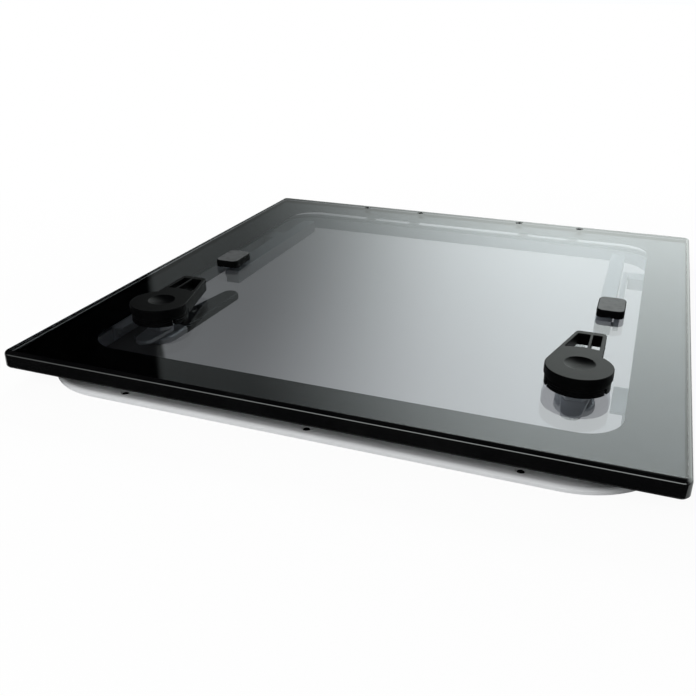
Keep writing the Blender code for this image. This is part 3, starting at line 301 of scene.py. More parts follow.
def floor_material():
    material = bpy.data.materials.new("white_table")
    material.use_nodes = True
    tree = material.node_tree
    tree.nodes.clear()
    paint = add_node(tree, "ShaderNodeBsdfDiffuse", {"Color": (FLOOR_ALBEDO, FLOOR_ALBEDO, FLOOR_ALBEDO, 1)})
    path = add_node(tree, "ShaderNodeLightPath").outputs
    spot = coordinates(tree)
    inward = vector_math(tree, "DIVIDE", vector_math(tree, "SUBTRACT", spot, FOOT_MIDDLE), FOOT_HALF)
    inward = axes_of(tree, vector_math(tree, "ABSOLUTE", inward))
    reach = math_node(tree, "ADD", *(math_node(tree, "POWER", inward[axis], FOOT_POWER) for axis in "XY"))
    beside = math_node(tree, "GREATER_THAN", reach, 1.0)
    passed = math_node(tree, "GREATER_THAN", path["Transmission Depth"], BOUNCED)
    through = product(tree, passed, math_node(tree, "LESS_THAN", path["Diffuse Depth"], BOUNCED))
    glow_share = smooth_ramp(tree, vector_math(tree, "LENGTH", spot), GLOW_NEAR, GLOW_FAR, FLOOR_GLOW, 1.0)
    share = product(tree, path["Is Camera Ray"], beside, glow_share)
    share = math_node(tree, "MULTIPLY_ADD", through, THROUGH_LENS_SHARE, share)
    # Painted light and a painted shadow on the glow that is seen through the lens.
    along = vector_math(tree, "DOT_PRODUCT", spot, PAINTED_LIGHT_SIDE)
    painted_light_grade = smooth_ramp(tree, along, PAINTED_LIGHT_START, PAINTED_LIGHT_END, THROUGH_LENS_LEFT, THROUGH_LENS_RIGHT)
    aside = vector_math(tree, "DOT_PRODUCT", spot, PAINTED_SHADOW_SIDE)
    painted_shadow = smooth_ramp(tree, aside, PAINTED_SHADOW_LINE - PAINTED_SHADOW_BLUR, PAINTED_SHADOW_LINE + PAINTED_SHADOW_BLUR, PAINTED_SHADOW_SHARE, 1.0)
    strength = mixed(tree, through, 1.0, product(tree, painted_light_grade, painted_shadow))
    glow = add_node(tree, "ShaderNodeEmission", {"Color": (1, 1, 1, 1), "Strength": strength})
    mix = add_node(tree, "ShaderNodeMixShader", {0: share, 1: paint.outputs[0], 2: glow.outputs[0]})
    plug(tree, add_node(tree, "ShaderNodeOutputMaterial"), {"Surface": mix.outputs[0]})
    return material


floor = flat_sheet("table", -FLOOR_HALF, -FLOOR_HALF, FLOOR_HALF, FLOOR_HALF, 0.0)
floor.data.materials.append(floor_material())
print("floor:", floor.name)

# %% Build the card and the lamps
CARD_HALF_X = 1.6
CARD_NEAR = -0.315
CARD_FAR = -0.50
CARD_LIFT = 0.0005
CARD_BLACK = (0.004, 0.004, 0.004, 1)
CARD_ROUGHNESS = 0.9


def card_material():
    material = bpy.data.materials.new("black_card")
    material.use_nodes = True
    tree = material.node_tree
    plug(tree, tree.nodes["Principled BSDF"], {"Base Color": CARD_BLACK, "Roughness": CARD_ROUGHNESS})
    return material


def area_lamp(name, place, aim, size, power):
    data = bpy.data.lights.new(name, "AREA")
    data.shape = "RECTANGLE"
    data.size, data.size_y = size
    data.energy = power
    lamp = bpy.data.objects.new(name, data)
    lamp.location = place
    lamp.rotation_euler = (Vector(aim) - Vector(place)).to_track_quat("-Z", "Y").to_euler()
    lamp.visible_glossy = False
    lamp.visible_transmission = False
    scene.collection.objects.link(lamp)


card = flat_sheet("front_card", -CARD_HALF_X, CARD_FAR, CARD_HALF_X, CARD_NEAR, CARD_LIFT)
card.data.materials.append(card_material())
for rays in ("camera", "diffuse", "transmission", "shadow"):
    setattr(card, f"visible_{rays}", False)
area_lamp("key", place=(-0.78, 1.78, 1.03), aim=(0.0, 0.0, 0.0), size=(0.5, 0.5), power=30.0)
area_lamp("front_fill", place=(-0.7, -1.7, 1.5), aim=(0.0, -0.30, 0.03), size=(1.6, 0.8), power=26.0)
print("card:", card.name)

# %% [markdown]
# ## Shared surface effects
# Real finishes share a few effects: moulded grain, edges rubbed brighter, drawn lines, the faint film that
# hands leave, and a painted sheen on tops that look up. Each is one node group, in the piece's own
# coordinates, placed in the materials with its own values, so that a change to the effect reaches every
# finish.

# %% Group: moulded grain


def draw_grain(tree, given, place):
    """Fine spark-eroded grain, and a slower drift of tone and gloss over it."""
    grain = noise(tree, place, given["Grain per metre"], Detail=3.0, Roughness=0.62)
    return grain, noise(tree, place, given["Drift per metre"], Detail=5.0, Roughness=0.55)


GRAIN_INPUTS = {"Grain per metre": 2600.0, "Drift per metre": 45.0}
MOULDED_GRAIN = make_group("moulded_grain", GRAIN_INPUTS, ("Height", "Tone"), draw_grain)

# %% Group: rubbed edges
EDGE_BEND = (0.985, 0.75)
EDGE_PATCHES = (0.3, 0.7)


def draw_rubbed_edges(tree, given, place):
    """Mask that is 1 on sharp edges and corners, broken up as handling breaks it up."""
    plain = add_node(tree, "ShaderNodeNewGeometry").outputs["Normal"]
    softened = add_node(tree, "ShaderNodeBevel", {"Radius": given["Reach"]}, samples=4).outputs["Normal"]
    bend = smooth_ramp(tree, vector_math(tree, "DOT_PRODUCT", plain, softened), *EDGE_BEND)
    patches = noise(tree, place, given["Break up per metre"], Detail=4.0)
    return [product(tree, bend, smooth_ramp(tree, patches, *EDGE_PATCHES))]


EDGE_INPUTS = {"Reach": 0.0006, "Break up per metre": 320.0}
RUBBED_EDGES = make_group("rubbed_edges", EDGE_INPUTS, ("Mask",), draw_rubbed_edges)

# %% Group: drawn lines
BAND_SCALE = 0.12


def draw_lines(tree, given, place):
    """Fine parallel lines that brushing or extruding leaves, drawn out along the axis with the low scale."""
    scaled = vector_math(tree, "MULTIPLY", place, given["Lines per metre"])
    lines = noise(tree, scaled, 1.0, Detail=4.0, Roughness=0.65)
    return lines, noise(tree, scaled, BAND_SCALE, Detail=2.0)


LINE_INPUTS = {"Lines per metre": (60.0, 2400.0, 2400.0)}
DRAWN_LINES = make_group("drawn_lines", LINE_INPUTS, ("Height", "Tone"), draw_lines)

# %% Group: handled film
RUB_TURN = (0.0, 0.0, 0.62)
RUB_STRETCH = (1.0, 0.04, 1.0)
RUB_RANGE = (0.66, 0.74)
FILM_RANGE = (0.42, 0.72)


def draw_film(tree, given, place):
    """Soft patches where hands and cloths have left a thin film, and a few fine hairline rubs."""
    patches = noise(tree, place, given["Patches per metre"], Detail=6.0, Roughness=0.6, Distortion=0.4)
    drawn_out = {"Vector": place, "Rotation": RUB_TURN, "Scale": RUB_STRETCH}
    drawn_out = add_node(tree, "ShaderNodeMapping", drawn_out).outputs["Vector"]
    rubs = noise(tree, drawn_out, given["Rubs per metre"], Detail=3.0, Distortion=0.2)
    return smooth_ramp(tree, patches, *FILM_RANGE), smooth_ramp(tree, rubs, *RUB_RANGE)


FILM_INPUTS = {"Patches per metre": 9.0, "Rubs per metre": 160.0}
HANDLED_FILM = make_group("handled_film", FILM_INPUTS, ("Film", "Rubs"), draw_film)

# %% Group: tops and painted sheen
UPWARD_RANGE = (0.80, 0.97)
PAINTED_SHEEN_RANGE = (0.0, 0.6)


def draw_tops_and_painted_sheen(tree, given, place):
    """Where the surface looks up: patchy, as the mask of a painted sheen, and plain, for the coat."""
    # The patchy upward mask paints sheen on the caps' tops as a lighter grey.
    upward = smooth_ramp(tree, axes_of(tree, coordinates(tree, "Normal"))["Z"], *UPWARD_RANGE)
    patches = noise(tree, place, given["Patches per metre"], Detail=5.0, Roughness=0.6)
    return product(tree, upward, smooth_ramp(tree, patches, *PAINTED_SHEEN_RANGE)), upward


TOPS_AND_PAINTED_SHEEN = make_group("tops_and_painted_sheen", {"Patches per metre": 140.0}, ("Mask", "Upward"), draw_tops_and_painted_sheen)

# %% Helper for finishes


def make_finish(name, effects, tints, gloss, relief=None, fixed=None):
    """A Principled finish made of shared effects, as its tree, its shader and the effects' outputs.

    An effect is (group, its values in order), and a pick such as "grain.Tone" names one of its outputs.
    The tints start with a colour, and each (pick, colour, share) after it is laid over what came before.
    The gloss starts with a roughness and adds each (pick, share). The relief is (pick, strength, distance).
    """
    material = bpy.data.materials.new(name)
    material.use_nodes = True
    tree = material.node_tree
    shader = tree.nodes["Principled BSDF"]
    picks = {}
    for label, (group, *values) in effects.items():
        node = add_node(tree, "ShaderNodeGroup", dict(enumerate(values)), node_tree=group)
        picks.update({f"{label}.{output.name}": output for output in node.outputs})
    tint, roughness = (*tints[0], 1), gloss[0]
    for pick, colour, *share in tints[1:]:
        tint = mixed_colour(tree, product(tree, picks[pick], *share), tint, (*colour, 1))
    for pick, share in gloss[1:]:
        roughness = math_node(tree, "MULTIPLY_ADD", picks[pick], share, roughness)
    plug(tree, shader, {"Base Color": tint, "Roughness": roughness, **(fixed or {})})
    if relief:
        bump = dict(zip(("Height", "Strength", "Distance"), (picks[relief[0]], *relief[1:])))
        plug(tree, shader, {"Normal": add_node(tree, "ShaderNodeBump", bump).outputs[0]})
    print("material:", name)
    return tree, shader, picks


print("finish helper ready")

# %% [markdown]
# ## Tinted acrylic
# The lid is a thick plate of smoked acrylic. Its colour is in its depth, so the tint is a Volume
# Absorption, and looking into the edge goes black as it does on the real plate. Lamps have to reach
# what lies under it, so the shader turns transparent for shadow rays. It lets less through toward the
# left, which paints shade under the left of the lid.

# %% Material: tinted acrylic
ACRYLIC_TINT = (0.477, 0.517, 0.570)
ACRYLIC_DENSITY = 49.0
ACRYLIC_IOR = 1.49
LAMP_SHARE_LEFT = 0.35
LAMP_SHARE_RIGHT = 0.95
LAMP_GRADE = (-0.22, 0.16)


def acrylic_material():
    tree, shader, _ = make_finish(
        "tinted_acrylic",
        {"film": (HANDLED_FILM, 7.0, 420.0)},
        [(1.0, 1.0, 1.0)],
        [0.006, ("film.Film", 0.022)],
        ("film.Rubs", 0.02, 0.00002),
        {"Transmission Weight": 1.0, "IOR": ACRYLIC_IOR},
    )
    # Painted shade: the lamp share falls toward the left of the lens, darkening what lies under it there.
    across = axes_of(tree, coordinates(tree))["X"]
    passing = smooth_ramp(tree, across, *LAMP_GRADE, LAMP_SHARE_LEFT, LAMP_SHARE_RIGHT)
    clear = add_node(tree, "ShaderNodeBsdfTransparent", {"Color": passing})
    shadow = add_node(tree, "ShaderNodeLightPath").outputs["Is Shadow Ray"]
    mix = add_node(tree, "ShaderNodeMixShader", {0: shadow, 1: shader.outputs[0], 2: clear.outputs[0]})
    tint = {"Color": (*ACRYLIC_TINT, 1), "Density": ACRYLIC_DENSITY}
    depth = add_node(tree, "ShaderNodeVolumeAbsorption", tint)
    plug(tree, tree.nodes["Material Output"], {"Surface": mix.outputs[0], "Volume": depth.outputs[0]})


acrylic_material()

# %% [markdown]
# ## Printed border
# The border is opaque black ink screened on a thin carrier under the lid. Screened ink is very dark and
# even, with a faint mottle of gloss.

# %% Material: printed border
make_finish(
    "black_border",
    {"grain": (MOULDED_GRAIN, 1500.0, 60.0)},
    [(0.0020, 0.0020, 0.0023), ("grain.Tone", (0.0032, 0.0032, 0.0034))],
    [0.4, ("grain.Tone", 0.2)],
    ("grain.Height", 0.03, 0.00001),
    {"Specular IOR Level": 0.05},
)

# %% [markdown]
# ## Black plastic
# Handles, rings, caps and hole sleeves are moulded in glass-filled nylon. The mould's fine grain keeps them
# satin, the colour drifts a little, and edges that hands touch are rubbed smoother and lighter. Tops are
# polished by handling, so a coat lies on them alone. The caps' tops are also painted a patchy grey, which is
# a painted sheen.

# %% Material: black plastic, plain and with painted sheen
POLISH_SHARE = 0.52
NYLON_FIXED = {"Specular IOR Level": 0.03, "Coat IOR": 1.23, "Coat Roughness": 0.38}
NYLON_DARK = (0.0008, 0.0009, 0.0010)
NYLON_LIGHT = (0.0018, 0.0019, 0.0021)


def black_nylon(name, grain, reach, overlays, gloss, relief):
    effects = {"grain": (MOULDED_GRAIN, *grain), "edges": (RUBBED_EDGES, reach), "faded": (TOPS_AND_PAINTED_SHEEN,)}
    tints = [NYLON_DARK, ("grain.Tone", NYLON_LIGHT), *overlays]
    tree, shader, picks = make_finish(name, effects, tints, gloss, relief, NYLON_FIXED)
    plug(tree, shader, {"Coat Weight": product(tree, picks["faded.Upward"], POLISH_SHARE)})


black_nylon(
    "black_plastic",
    (2400.0, 70.0),
    0.0007,
    [("edges.Mask", (0.014, 0.0143, 0.0147))],
    [0.36, ("grain.Tone", 0.14), ("edges.Mask", -0.10)],
    ("grain.Height", 0.22, 0.00006),
)
black_nylon(
    "black_plastic_painted_sheen",
    (1900.0, 110.0),
    0.0006,
    # Painted sheen: the caps' upward faces are painted a patchy lighter grey.
    [("edges.Mask", (0.010, 0.0103, 0.0106)), ("faded.Mask", (0.085, 0.088, 0.090))],
    [0.38, ("grain.Tone", 0.14)],
    ("grain.Height", 0.25, 0.00008),
)

# %% [markdown]
# ## Pale plastic
# Bearings and rollers are unpigmented acetal: off-white, slightly waxy and smooth, with faint flow marks.

# %% Material: pale plastic
make_finish(
    "pale_plastic",
    {"grain": (MOULDED_GRAIN, 1800.0, 110.0), "edges": (RUBBED_EDGES, 0.0005)},
    [(0.60, 0.60, 0.58), ("grain.Tone", (0.72, 0.72, 0.70)), ("edges.Mask", (0.78, 0.78, 0.77))],
    [0.30, ("grain.Tone", 0.16)],
    ("grain.Height", 0.10, 0.00005),
)

# %% [markdown]
# ## Frame coat
# The frame is an aluminium extrusion bent round its corners and powder coated in pale grey. Powder flows
# out into a soft orange peel, and rubs through to brighter metal along the edges.

# %% Material: frame coat
make_finish(
    "frame_coat",
    {
        "peel": (MOULDED_GRAIN, 650.0, 24.0),
        "film": (HANDLED_FILM, 14.0, 220.0),
        "edges": (RUBBED_EDGES, 0.0008, 180.0),
    },
    [
        (0.755, 0.765, 0.775),
        ("peel.Tone", (0.805, 0.815, 0.825)),
        ("film.Film", (0.70, 0.71, 0.715), 0.35),
        ("edges.Mask", (0.86, 0.865, 0.87), 0.6),
    ],
    [0.34, ("film.Film", 0.12)],
    ("peel.Height", 0.16, 0.00012),
)

# %% [markdown]
# ## Seal rubber
# The gasket is grey sponge-cored silicone rubber. It is matt, with an open fine texture and a pale bloom.

# %% Material: seal rubber
make_finish(
    "seal_rubber",
    {"grain": (MOULDED_GRAIN, 3200.0, 36.0), "film": (HANDLED_FILM, 30.0, 300.0)},
    [(0.32, 0.325, 0.33), ("grain.Tone", (0.40, 0.405, 0.41)), ("film.Film", (0.48, 0.485, 0.49), 0.5)],
    [0.66, ("grain.Tone", 0.2)],
    ("grain.Height", 0.35, 0.0001),
)

# %% [markdown]
# ## Stainless steel
# Screws, nuts, pins, tongues, keepers, hinge leaves and stay arms are turned or stamped from stainless steel
# and brushed to a satin. The brushed lines break the reflection along one axis, and edges are polished by
# the tumbling that deburrs them.

# %% Material: stainless steel
make_finish(
    "stainless",
    {
        "lines": (DRAWN_LINES, (90.0, 3600.0, 3600.0)),
        "film": (HANDLED_FILM, 40.0, 500.0),
        "edges": (RUBBED_EDGES, 0.0004),
    },
    [(0.70, 0.705, 0.71), ("lines.Tone", (0.78, 0.785, 0.79)), ("edges.Mask", (0.84, 0.845, 0.85))],
    [0.38, ("lines.Height", 0.16), ("film.Film", 0.08)],
    ("lines.Height", 0.12, 0.00003),
    {"Metallic": 0.4},
)

# %% [markdown]
# ## Blackened steel
# The hinge screws are steel blackened in a hot salt bath. The coat is a dark conversion of the metal
# itself, so it keeps the metal's shine, is patchy with oil and wears to grey on its edges.

# %% Material: blackened steel
make_finish(
    "black_steel",
    {"film": (HANDLED_FILM, 90.0, 700.0), "edges": (RUBBED_EDGES, 0.0004, 600.0)},
    [(0.012, 0.012, 0.013), ("film.Film", (0.025, 0.025, 0.027)), ("edges.Mask", (0.060, 0.060, 0.063))],
    [0.34, ("film.Film", 0.14)],
    ("film.Rubs", 0.06, 0.00002),
    {"Metallic": 1.0},
)

# %% [markdown]
# ## Anodised aluminium
# The stay tracks, their brackets and the bare hubs of the inner levers are clear anodised: a soft grey satin
# with faint die lines along the length.

# %% Material: anodised aluminium
make_finish(
    "anodised",
    {"lines": (DRAWN_LINES, (1500.0, 14.0, 1500.0)), "edges": (RUBBED_EDGES, 0.0005)},
    [(0.66, 0.665, 0.67), ("lines.Tone", (0.74, 0.745, 0.75)), ("edges.Mask", (0.80, 0.805, 0.81))],
    [0.36, ("lines.Height", 0.12)],
    ("lines.Height", 0.06, 0.00003),
    {"Metallic": 0.4},
)

# %% [markdown]
# ## Mesh helpers
# Most pieces of a hatch are outlines that were extruded, turned or moulded with small rounds. So a piece is
# drawn here as a stack of closed loops joined by a skin, and holes are cut from it with a boolean that is
# applied at once and cleared of slivers. Weighted normals keep the flats flat next to the rounds.

# %% Outlines
SOFT_ANGLE = math.radians(34)
CORNER_STEPS = 20
ROUND_STEPS = 7
CIRCLE_STEPS = 72
HOLE_STEPS = 48
SMALL_HOLE_STEPS = 36
SHARPEST_LEAN = 0.5


def arc(centre, radius, start, end, steps):
    """Points along an arc, both ends included."""
    angles = [start + (end - start) * step / steps for step in range(steps + 1)]
    return [(centre[0] + radius * math.cos(a), centre[1] + radius * math.sin(a)) for a in angles]


def rounded_rectangle(half_x, half_y, radius, centre=(0.0, 0.0), steps=CORNER_STEPS):
    outline = []
    for quarter, (to_x, to_y) in enumerate(((1, 1), (-1, 1), (-1, -1), (1, -1))):
        middle = (centre[0] + to_x * (half_x - radius), centre[1] + to_y * (half_y - radius))
        outline += arc(middle, radius, quarter * math.pi / 2, (quarter + 1) * math.pi / 2, steps)
    return outline


def link_outline(length, root_radius, tip_radius, steps=28):
    """Two round ends joined by their outer tangents, from the origin along +Y."""
    lean = math.asin((root_radius - tip_radius) / length)
    tip = arc((0, length), tip_radius, lean, math.pi - lean, steps)
    return tip + arc((0, 0), root_radius, math.pi - lean, 2 * math.pi + lean, steps)


def filleted(corner, before, after, radius, steps=8):
    """Arc that rounds a corner between the points before and after it."""
    corner = Vector(corner)
    back = (Vector(before) - corner).normalized()
    onward = (Vector(after) - corner).normalized()
    half = back.angle(onward) / 2
    middle = corner + (back + onward).normalized() * radius / math.sin(half)
    start = corner + back * radius / math.tan(half) - middle
    end = corner + onward * radius / math.tan(half) - middle
    first = math.atan2(start.y, start.x)
    sweep = (math.atan2(end.y, end.x) - first + math.pi) % (2 * math.pi) - math.pi
    return arc(middle, radius, first, first + sweep, steps)


def grown(outline, distance):
    """A counter-clockwise outline moved outward by a distance."""
    points = [Vector(point) for point in outline]
    moved = []
    for index, point in enumerate(points):
        before = (point - points[index - 1]).normalized()
        after = (points[(index + 1) % len(points)] - point).normalized()
        normal = Vector((before.y + after.y, -before.x - after.x)).normalized()
        lean = normal.dot(Vector((after.y, -after.x)))
        moved.append(tuple(point + normal * distance / max(lean, SHARPEST_LEAN)))
    return moved


def placed(outline, centre, angle=0.0):
    """The outline turned about the origin, then moved to its centre."""
    cos, sin = math.cos(angle), math.sin(angle)
    return [(centre[0] + x * cos - y * sin, centre[1] + x * sin + y * cos) for x, y in outline]


def level(outline, height):
    return [(x, y, height) for x, y in outline]


def rectangle_loops(half_x, half_y, corner, centre=(0.0, 0.0), steps=CORNER_STEPS):
    """loop(inset, height) that draws a rounded rectangle at a height, set in by a distance."""
    def loop(inset, height):
        outline = rounded_rectangle(half_x - inset, half_y - inset, corner - inset, centre, steps)
        return level(outline, height)

    return loop


def quarter_round(radius, steps=ROUND_STEPS):
    """(inset, rise) from the side of a rounded edge to its top."""
    return [(radius - x, z) for x, z in arc((0, 0), radius, 0, math.pi / 2, steps)]


def rounded_stack(loop, low, high, foot, top, foot_steps=ROUND_STEPS):
    """Loops of a solid with rounded foot and top edges; loop(inset, height) draws one of them."""
    loops = [loop(inset, low + foot - rise) for inset, rise in reversed(quarter_round(foot, foot_steps))]
    return loops + [loop(inset, high - top + rise) for inset, rise in quarter_round(top)]


print("outline helpers ready")

# %% Solids
SAME_POINT = 1e-6
SLIVER = 2e-6


def skin(loops, ring=False):
    """Faces that join each loop to the next; a ring's section closes on itself, and others get end caps."""
    mesh = bmesh.new()
    rows = [[mesh.verts.new(point) for point in loop] for loop in loops]
    for row, following in zip(rows, rows[1:] + rows[:1] if ring else rows[1:]):
        for index in range(len(row)):
            after = (index + 1) % len(row)
            mesh.faces.new((row[index], row[after], following[after], following[index]))
    if not ring:
        mesh.faces.new(rows[0])
        mesh.faces.new(rows[-1])
    bmesh.ops.recalc_face_normals(mesh, faces=mesh.faces)
    return mesh


def prism(outline, low, high):
    return skin([level(outline, low), level(outline, high)])


def turned(profile, centre=(0.0, 0.0), ring=False, steps=CIRCLE_STEPS):
    """A profile of (radius, height) turned about an upright axis."""
    loops = [level(arc(centre, radius, 0, 2 * math.pi, steps)[:-1], height) for radius, height in profile]
    return skin(loops, ring)


def bore(centre, radius, low, high, steps=CIRCLE_STEPS):
    return turned([(radius, low), (radius, high)], centre, steps=steps)


def joined(meshes):
    whole = bmesh.new()
    for mesh in meshes:
        data = bpy.data.meshes.new("part_of_cutter")
        mesh.to_mesh(data)
        mesh.free()
        whole.from_mesh(data)
        bpy.data.meshes.remove(data)
    return whole


def sided(mesh, side):
    """The right-hand mesh, or its mirror for the left."""
    if side < 0:
        bmesh.ops.scale(mesh, vec=(-1, 1, 1), verts=mesh.verts)
        bmesh.ops.reverse_faces(mesh, faces=mesh.faces)
    return mesh


def as_object(name, mesh, *finishes):
    data = bpy.data.meshes.new(name)
    mesh.to_mesh(data)
    mesh.free()
    for finish in finishes:
        data.materials.append(bpy.data.materials[finish])
    obj = bpy.data.objects.new(name, data)
    scene.collection.objects.link(obj)
    return obj


def carve(obj, cutter):
    """Cuts a bmesh out of an object and keeps the result as the object's own mesh."""
    helper = as_object("cutter", cutter, *obj.data.materials.keys())
    boolean = obj.modifiers.new("carve", "BOOLEAN")
    boolean.operation = "DIFFERENCE"
    boolean.solver = "EXACT"
    boolean.object = helper
    depsgraph = bpy.context.evaluated_depsgraph_get()
    result = bpy.data.meshes.new_from_object(obj.evaluated_get(depsgraph))
    obj.modifiers.clear()
    old, spent = obj.data, helper.data
    obj.data = result
    bpy.data.objects.remove(helper)
    bpy.data.meshes.remove(spent)
    bpy.data.meshes.remove(old)
    result.name = obj.name
    tidied = bmesh.new()
    tidied.from_mesh(result)
    bmesh.ops.dissolve_degenerate(tidied, edges=tidied.edges, dist=SLIVER)
    tidied.to_mesh(result)
    tidied.free()


def shade(obj):
    obj.data.shade_smooth()
    obj.data.set_sharp_from_angle(angle=SOFT_ANGLE)


def seat(obj, node, body):
    """Smooth shading with flat flats; the piece then stands for its CAD node and moves with its body."""
    shade(obj)
    obj.modifiers.new("flat_flats", "WEIGHTED_NORMAL").keep_sharp = True
    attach(obj, body)
    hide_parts(node)
    return obj


def both_sides(build):
    for name, side in SIDES:
        piece = build(name, side)
        print(piece.name, "faces:", len(piece.data.polygons))


finish_of = {row["node"]: row["material_slot"] for row in frame["record"]["subparts"]}
SIDES = (("left", -1), ("right", 1))
print("solid helpers ready")

# %% [markdown]
# ## Lens plate
# The lid is a routed plate with a rounded top edge. Its flat faces are clear to look through, and its
# edge and holes are sealed black, as the picture shows, so the plate gets two finishes: acrylic on the flats
# and a black gloss on everything round them.

# %% Material: sealed edge
make_finish(
    "sealed_edge",
    {"film": (HANDLED_FILM, 18.0, 420.0)},
    [(0.0020, 0.0020, 0.0023), ("film.Film", (0.0040, 0.0040, 0.0042))],
    [0.05, ("film.Film", 0.05)],
    fixed={"IOR": 1.7},
)

# %% Build the lens plate
GAP = 0.0003
OVERCUT = 0.002
LENS_HALF_X = 0.290
LENS_HALF_Y = 0.304
LENS_LOW = 0.0185
LENS_TOP = 0.0335
LENS_CORNER = 0.007
LENS_TOP_ROUND = 0.004
LENS_TOP_STEPS = 12
LENS_FOOT = ((0.001, 0.0), (0.0003, 0.0003), (0.0, 0.001))
LEVEL_NORMAL = 0.9999
LATCH_X = 0.200
LATCH_Y = -0.184
LATCH_AXIS = (LATCH_X, LATCH_Y)
BUSH_RADIUS = 0.0077
ANCHOR_X = 0.208
ANCHOR_Y = -0.005
ANCHOR_RADIUS = 0.003
HINGE_SCREW_X = (0.0705, 0.1515)
HINGE_SCREW_Y = 0.2915
HINGE_SCREW_SHANK = 0.0025
HINGE_SCREW_HEAD = 0.0046


def countersunk_hole(x, y, shank, head, low, top):
    cone = top - (head - shank)
    profile = [(shank, low - OVERCUT), (shank, cone), (head, top), (head, top + OVERCUT)]
    return turned(profile, (x, y), steps=SMALL_HOLE_STEPS)


def round_hole(x, y, radius, low, high):
    return bore((x, y), radius, low - OVERCUT, high + OVERCUT, steps=HOLE_STEPS)


def build_lens():
    lens_loop = rectangle_loops(LENS_HALF_X, LENS_HALF_Y, LENS_CORNER)
    loops = [lens_loop(inset, LENS_LOW + rise) for inset, rise in LENS_FOOT]
    for inset, rise in quarter_round(LENS_TOP_ROUND, LENS_TOP_STEPS):
        loops.append(lens_loop(inset, LENS_TOP - LENS_TOP_ROUND + rise))
    plate = skin(loops)
    for face in plate.faces:
        face.material_index = 0 if abs(face.normal.z) > LEVEL_NORMAL and len(face.verts) > 4 else 1
    lens = as_object("lens_plate", plate, "tinted_acrylic", "sealed_edge")
    holes = []
    for _, side in SIDES:
        holes.append(round_hole(side * LATCH_X, LATCH_Y, BUSH_RADIUS + GAP, LENS_LOW, LENS_TOP))
        holes.append(round_hole(side * ANCHOR_X, ANCHOR_Y, ANCHOR_RADIUS + GAP, LENS_LOW, LENS_TOP))
        for x in HINGE_SCREW_X:
            shank, head = HINGE_SCREW_SHANK + GAP, HINGE_SCREW_HEAD + GAP
            holes.append(countersunk_hole(side * x, HINGE_SCREW_Y, shank, head, LENS_LOW, LENS_TOP))
    cutter = joined(holes)
    for face in cutter.faces:
        face.material_index = 1
    carve(lens, cutter)
    return seat(lens, "lens", "lid")


print("lens faces:", len(build_lens().data.polygons))

# %% [markdown]
# ## Rotary handles
# Each handle is one moulding: a thumb disc with a dished top and a lever with two windows, hung a little
# lower than the disc so that it clears the ring. The dish leans toward the back, so its far wall is steep
# and its near wall runs out gently under the thumb. The windows widen toward the foot, as a mould needs.
# The mouldings are mirrored left and right.

# %% Handle outlines
HANDLE_RADIUS = 0.0280
HANDLE_LOW = 0.0433
HANDLE_TOP = 0.0511
HANDLE_ROUND = 0.0008
HANDLE_FOOT_ROUND = 0.0004
HANDLE_FOOT_STEPS = 3
LEVER_REACH = 0.075
LEVER_OUTER = 0.0165
LEVER_TIP_INNER = -0.0100
LEVER_TIP_ROUND = 0.0045
LEVER_SKIRT = 0.0048
LEVER_RAIL = 0.0036
LEVER_TIP_BAR = 0.0070
RAIL_AT_FOOT = 0.0024
TIP_BAR_AT_FOOT = 0.0028
WINDOW_NEAR = 0.0385
WINDOW_NEAR_STEPS = 10
WINDOW_CORNER = 0.0011
WINDOW_CORNER_STEPS = 4
WINDOW_ROUND = 0.0007
RIB_CENTRE = 0.0038
RIB_WIDTH = 0.0026


def lever_tangent():
    """Angle at which the lever's inner edge leaves the disc."""
    reach = math.hypot(LEVER_TIP_INNER, LEVER_REACH)
    return math.atan2(LEVER_REACH, LEVER_TIP_INNER) + math.acos(HANDLE_RADIUS / reach)


def handle_outline(shrink):
    """Disc and lever in plan: the inner edge is tangent to the disc and the outer edge is straight."""
    radius = HANDLE_RADIUS - shrink
    tangent = lever_tangent()
    normal = (math.cos(tangent), math.sin(tangent))
    outer, tip = LEVER_OUTER - shrink, LEVER_REACH - shrink
    root_angle = math.acos(outer / radius)
    inner_tip = (radius - normal[1] * tip) / normal[0]
    root = (outer, radius * math.sin(root_angle))
    leaving = (radius * normal[0], radius * normal[1])
    corner = LEVER_TIP_ROUND - shrink
    outline = filleted((outer, tip), root, (inner_tip, tip), corner)
    outline += filleted((inner_tip, tip), (outer, tip), leaving, corner)
    return outline + arc((0, 0), radius, tangent, 2 * math.pi + root_angle, CIRCLE_STEPS)


def lever_windows(rail_width, bar_width):
    """Outlines of the two windows between the rails, the rib, the tip bar and the disc."""
    tangent = lever_tangent()
    tip = LEVER_REACH - bar_width
    rail = HANDLE_RADIUS - rail_width
    inner_tip = (rail - math.sin(tangent) * tip) / math.cos(tangent)
    near_inner = tangent - math.acos(rail / WINDOW_NEAR)
    rib_low, rib_high = RIB_CENTRE - RIB_WIDTH / 2, RIB_CENTRE + RIB_WIDTH / 2
    outer = LEVER_OUTER - rail_width
    edges = (
        (inner_tip, near_inner, rib_low, math.acos(rib_low / WINDOW_NEAR)),
        (rib_high, math.acos(rib_high / WINDOW_NEAR), outer, math.acos(outer / WINDOW_NEAR)),
    )
    windows = []
    for inner_x, inner_angle, outer_x, outer_angle in edges:
        near = arc((0, 0), WINDOW_NEAR, inner_angle, outer_angle, WINDOW_NEAR_STEPS)
        far_outer, far_inner = (outer_x, tip), (inner_x, tip)
        turns = (
            (near[0], far_inner, near[1]),
            (near[-1], near[-2], far_outer),
            (far_outer, near[-1], far_inner),
            (far_inner, far_outer, near[0]),
        )
        first, *others = [filleted(*turn, WINDOW_CORNER, WINDOW_CORNER_STEPS) for turn in turns]
        windows.append(first + near[2:-2] + sum(others, []))
    return windows


print("handle outline points:", len(handle_outline(0.0)))

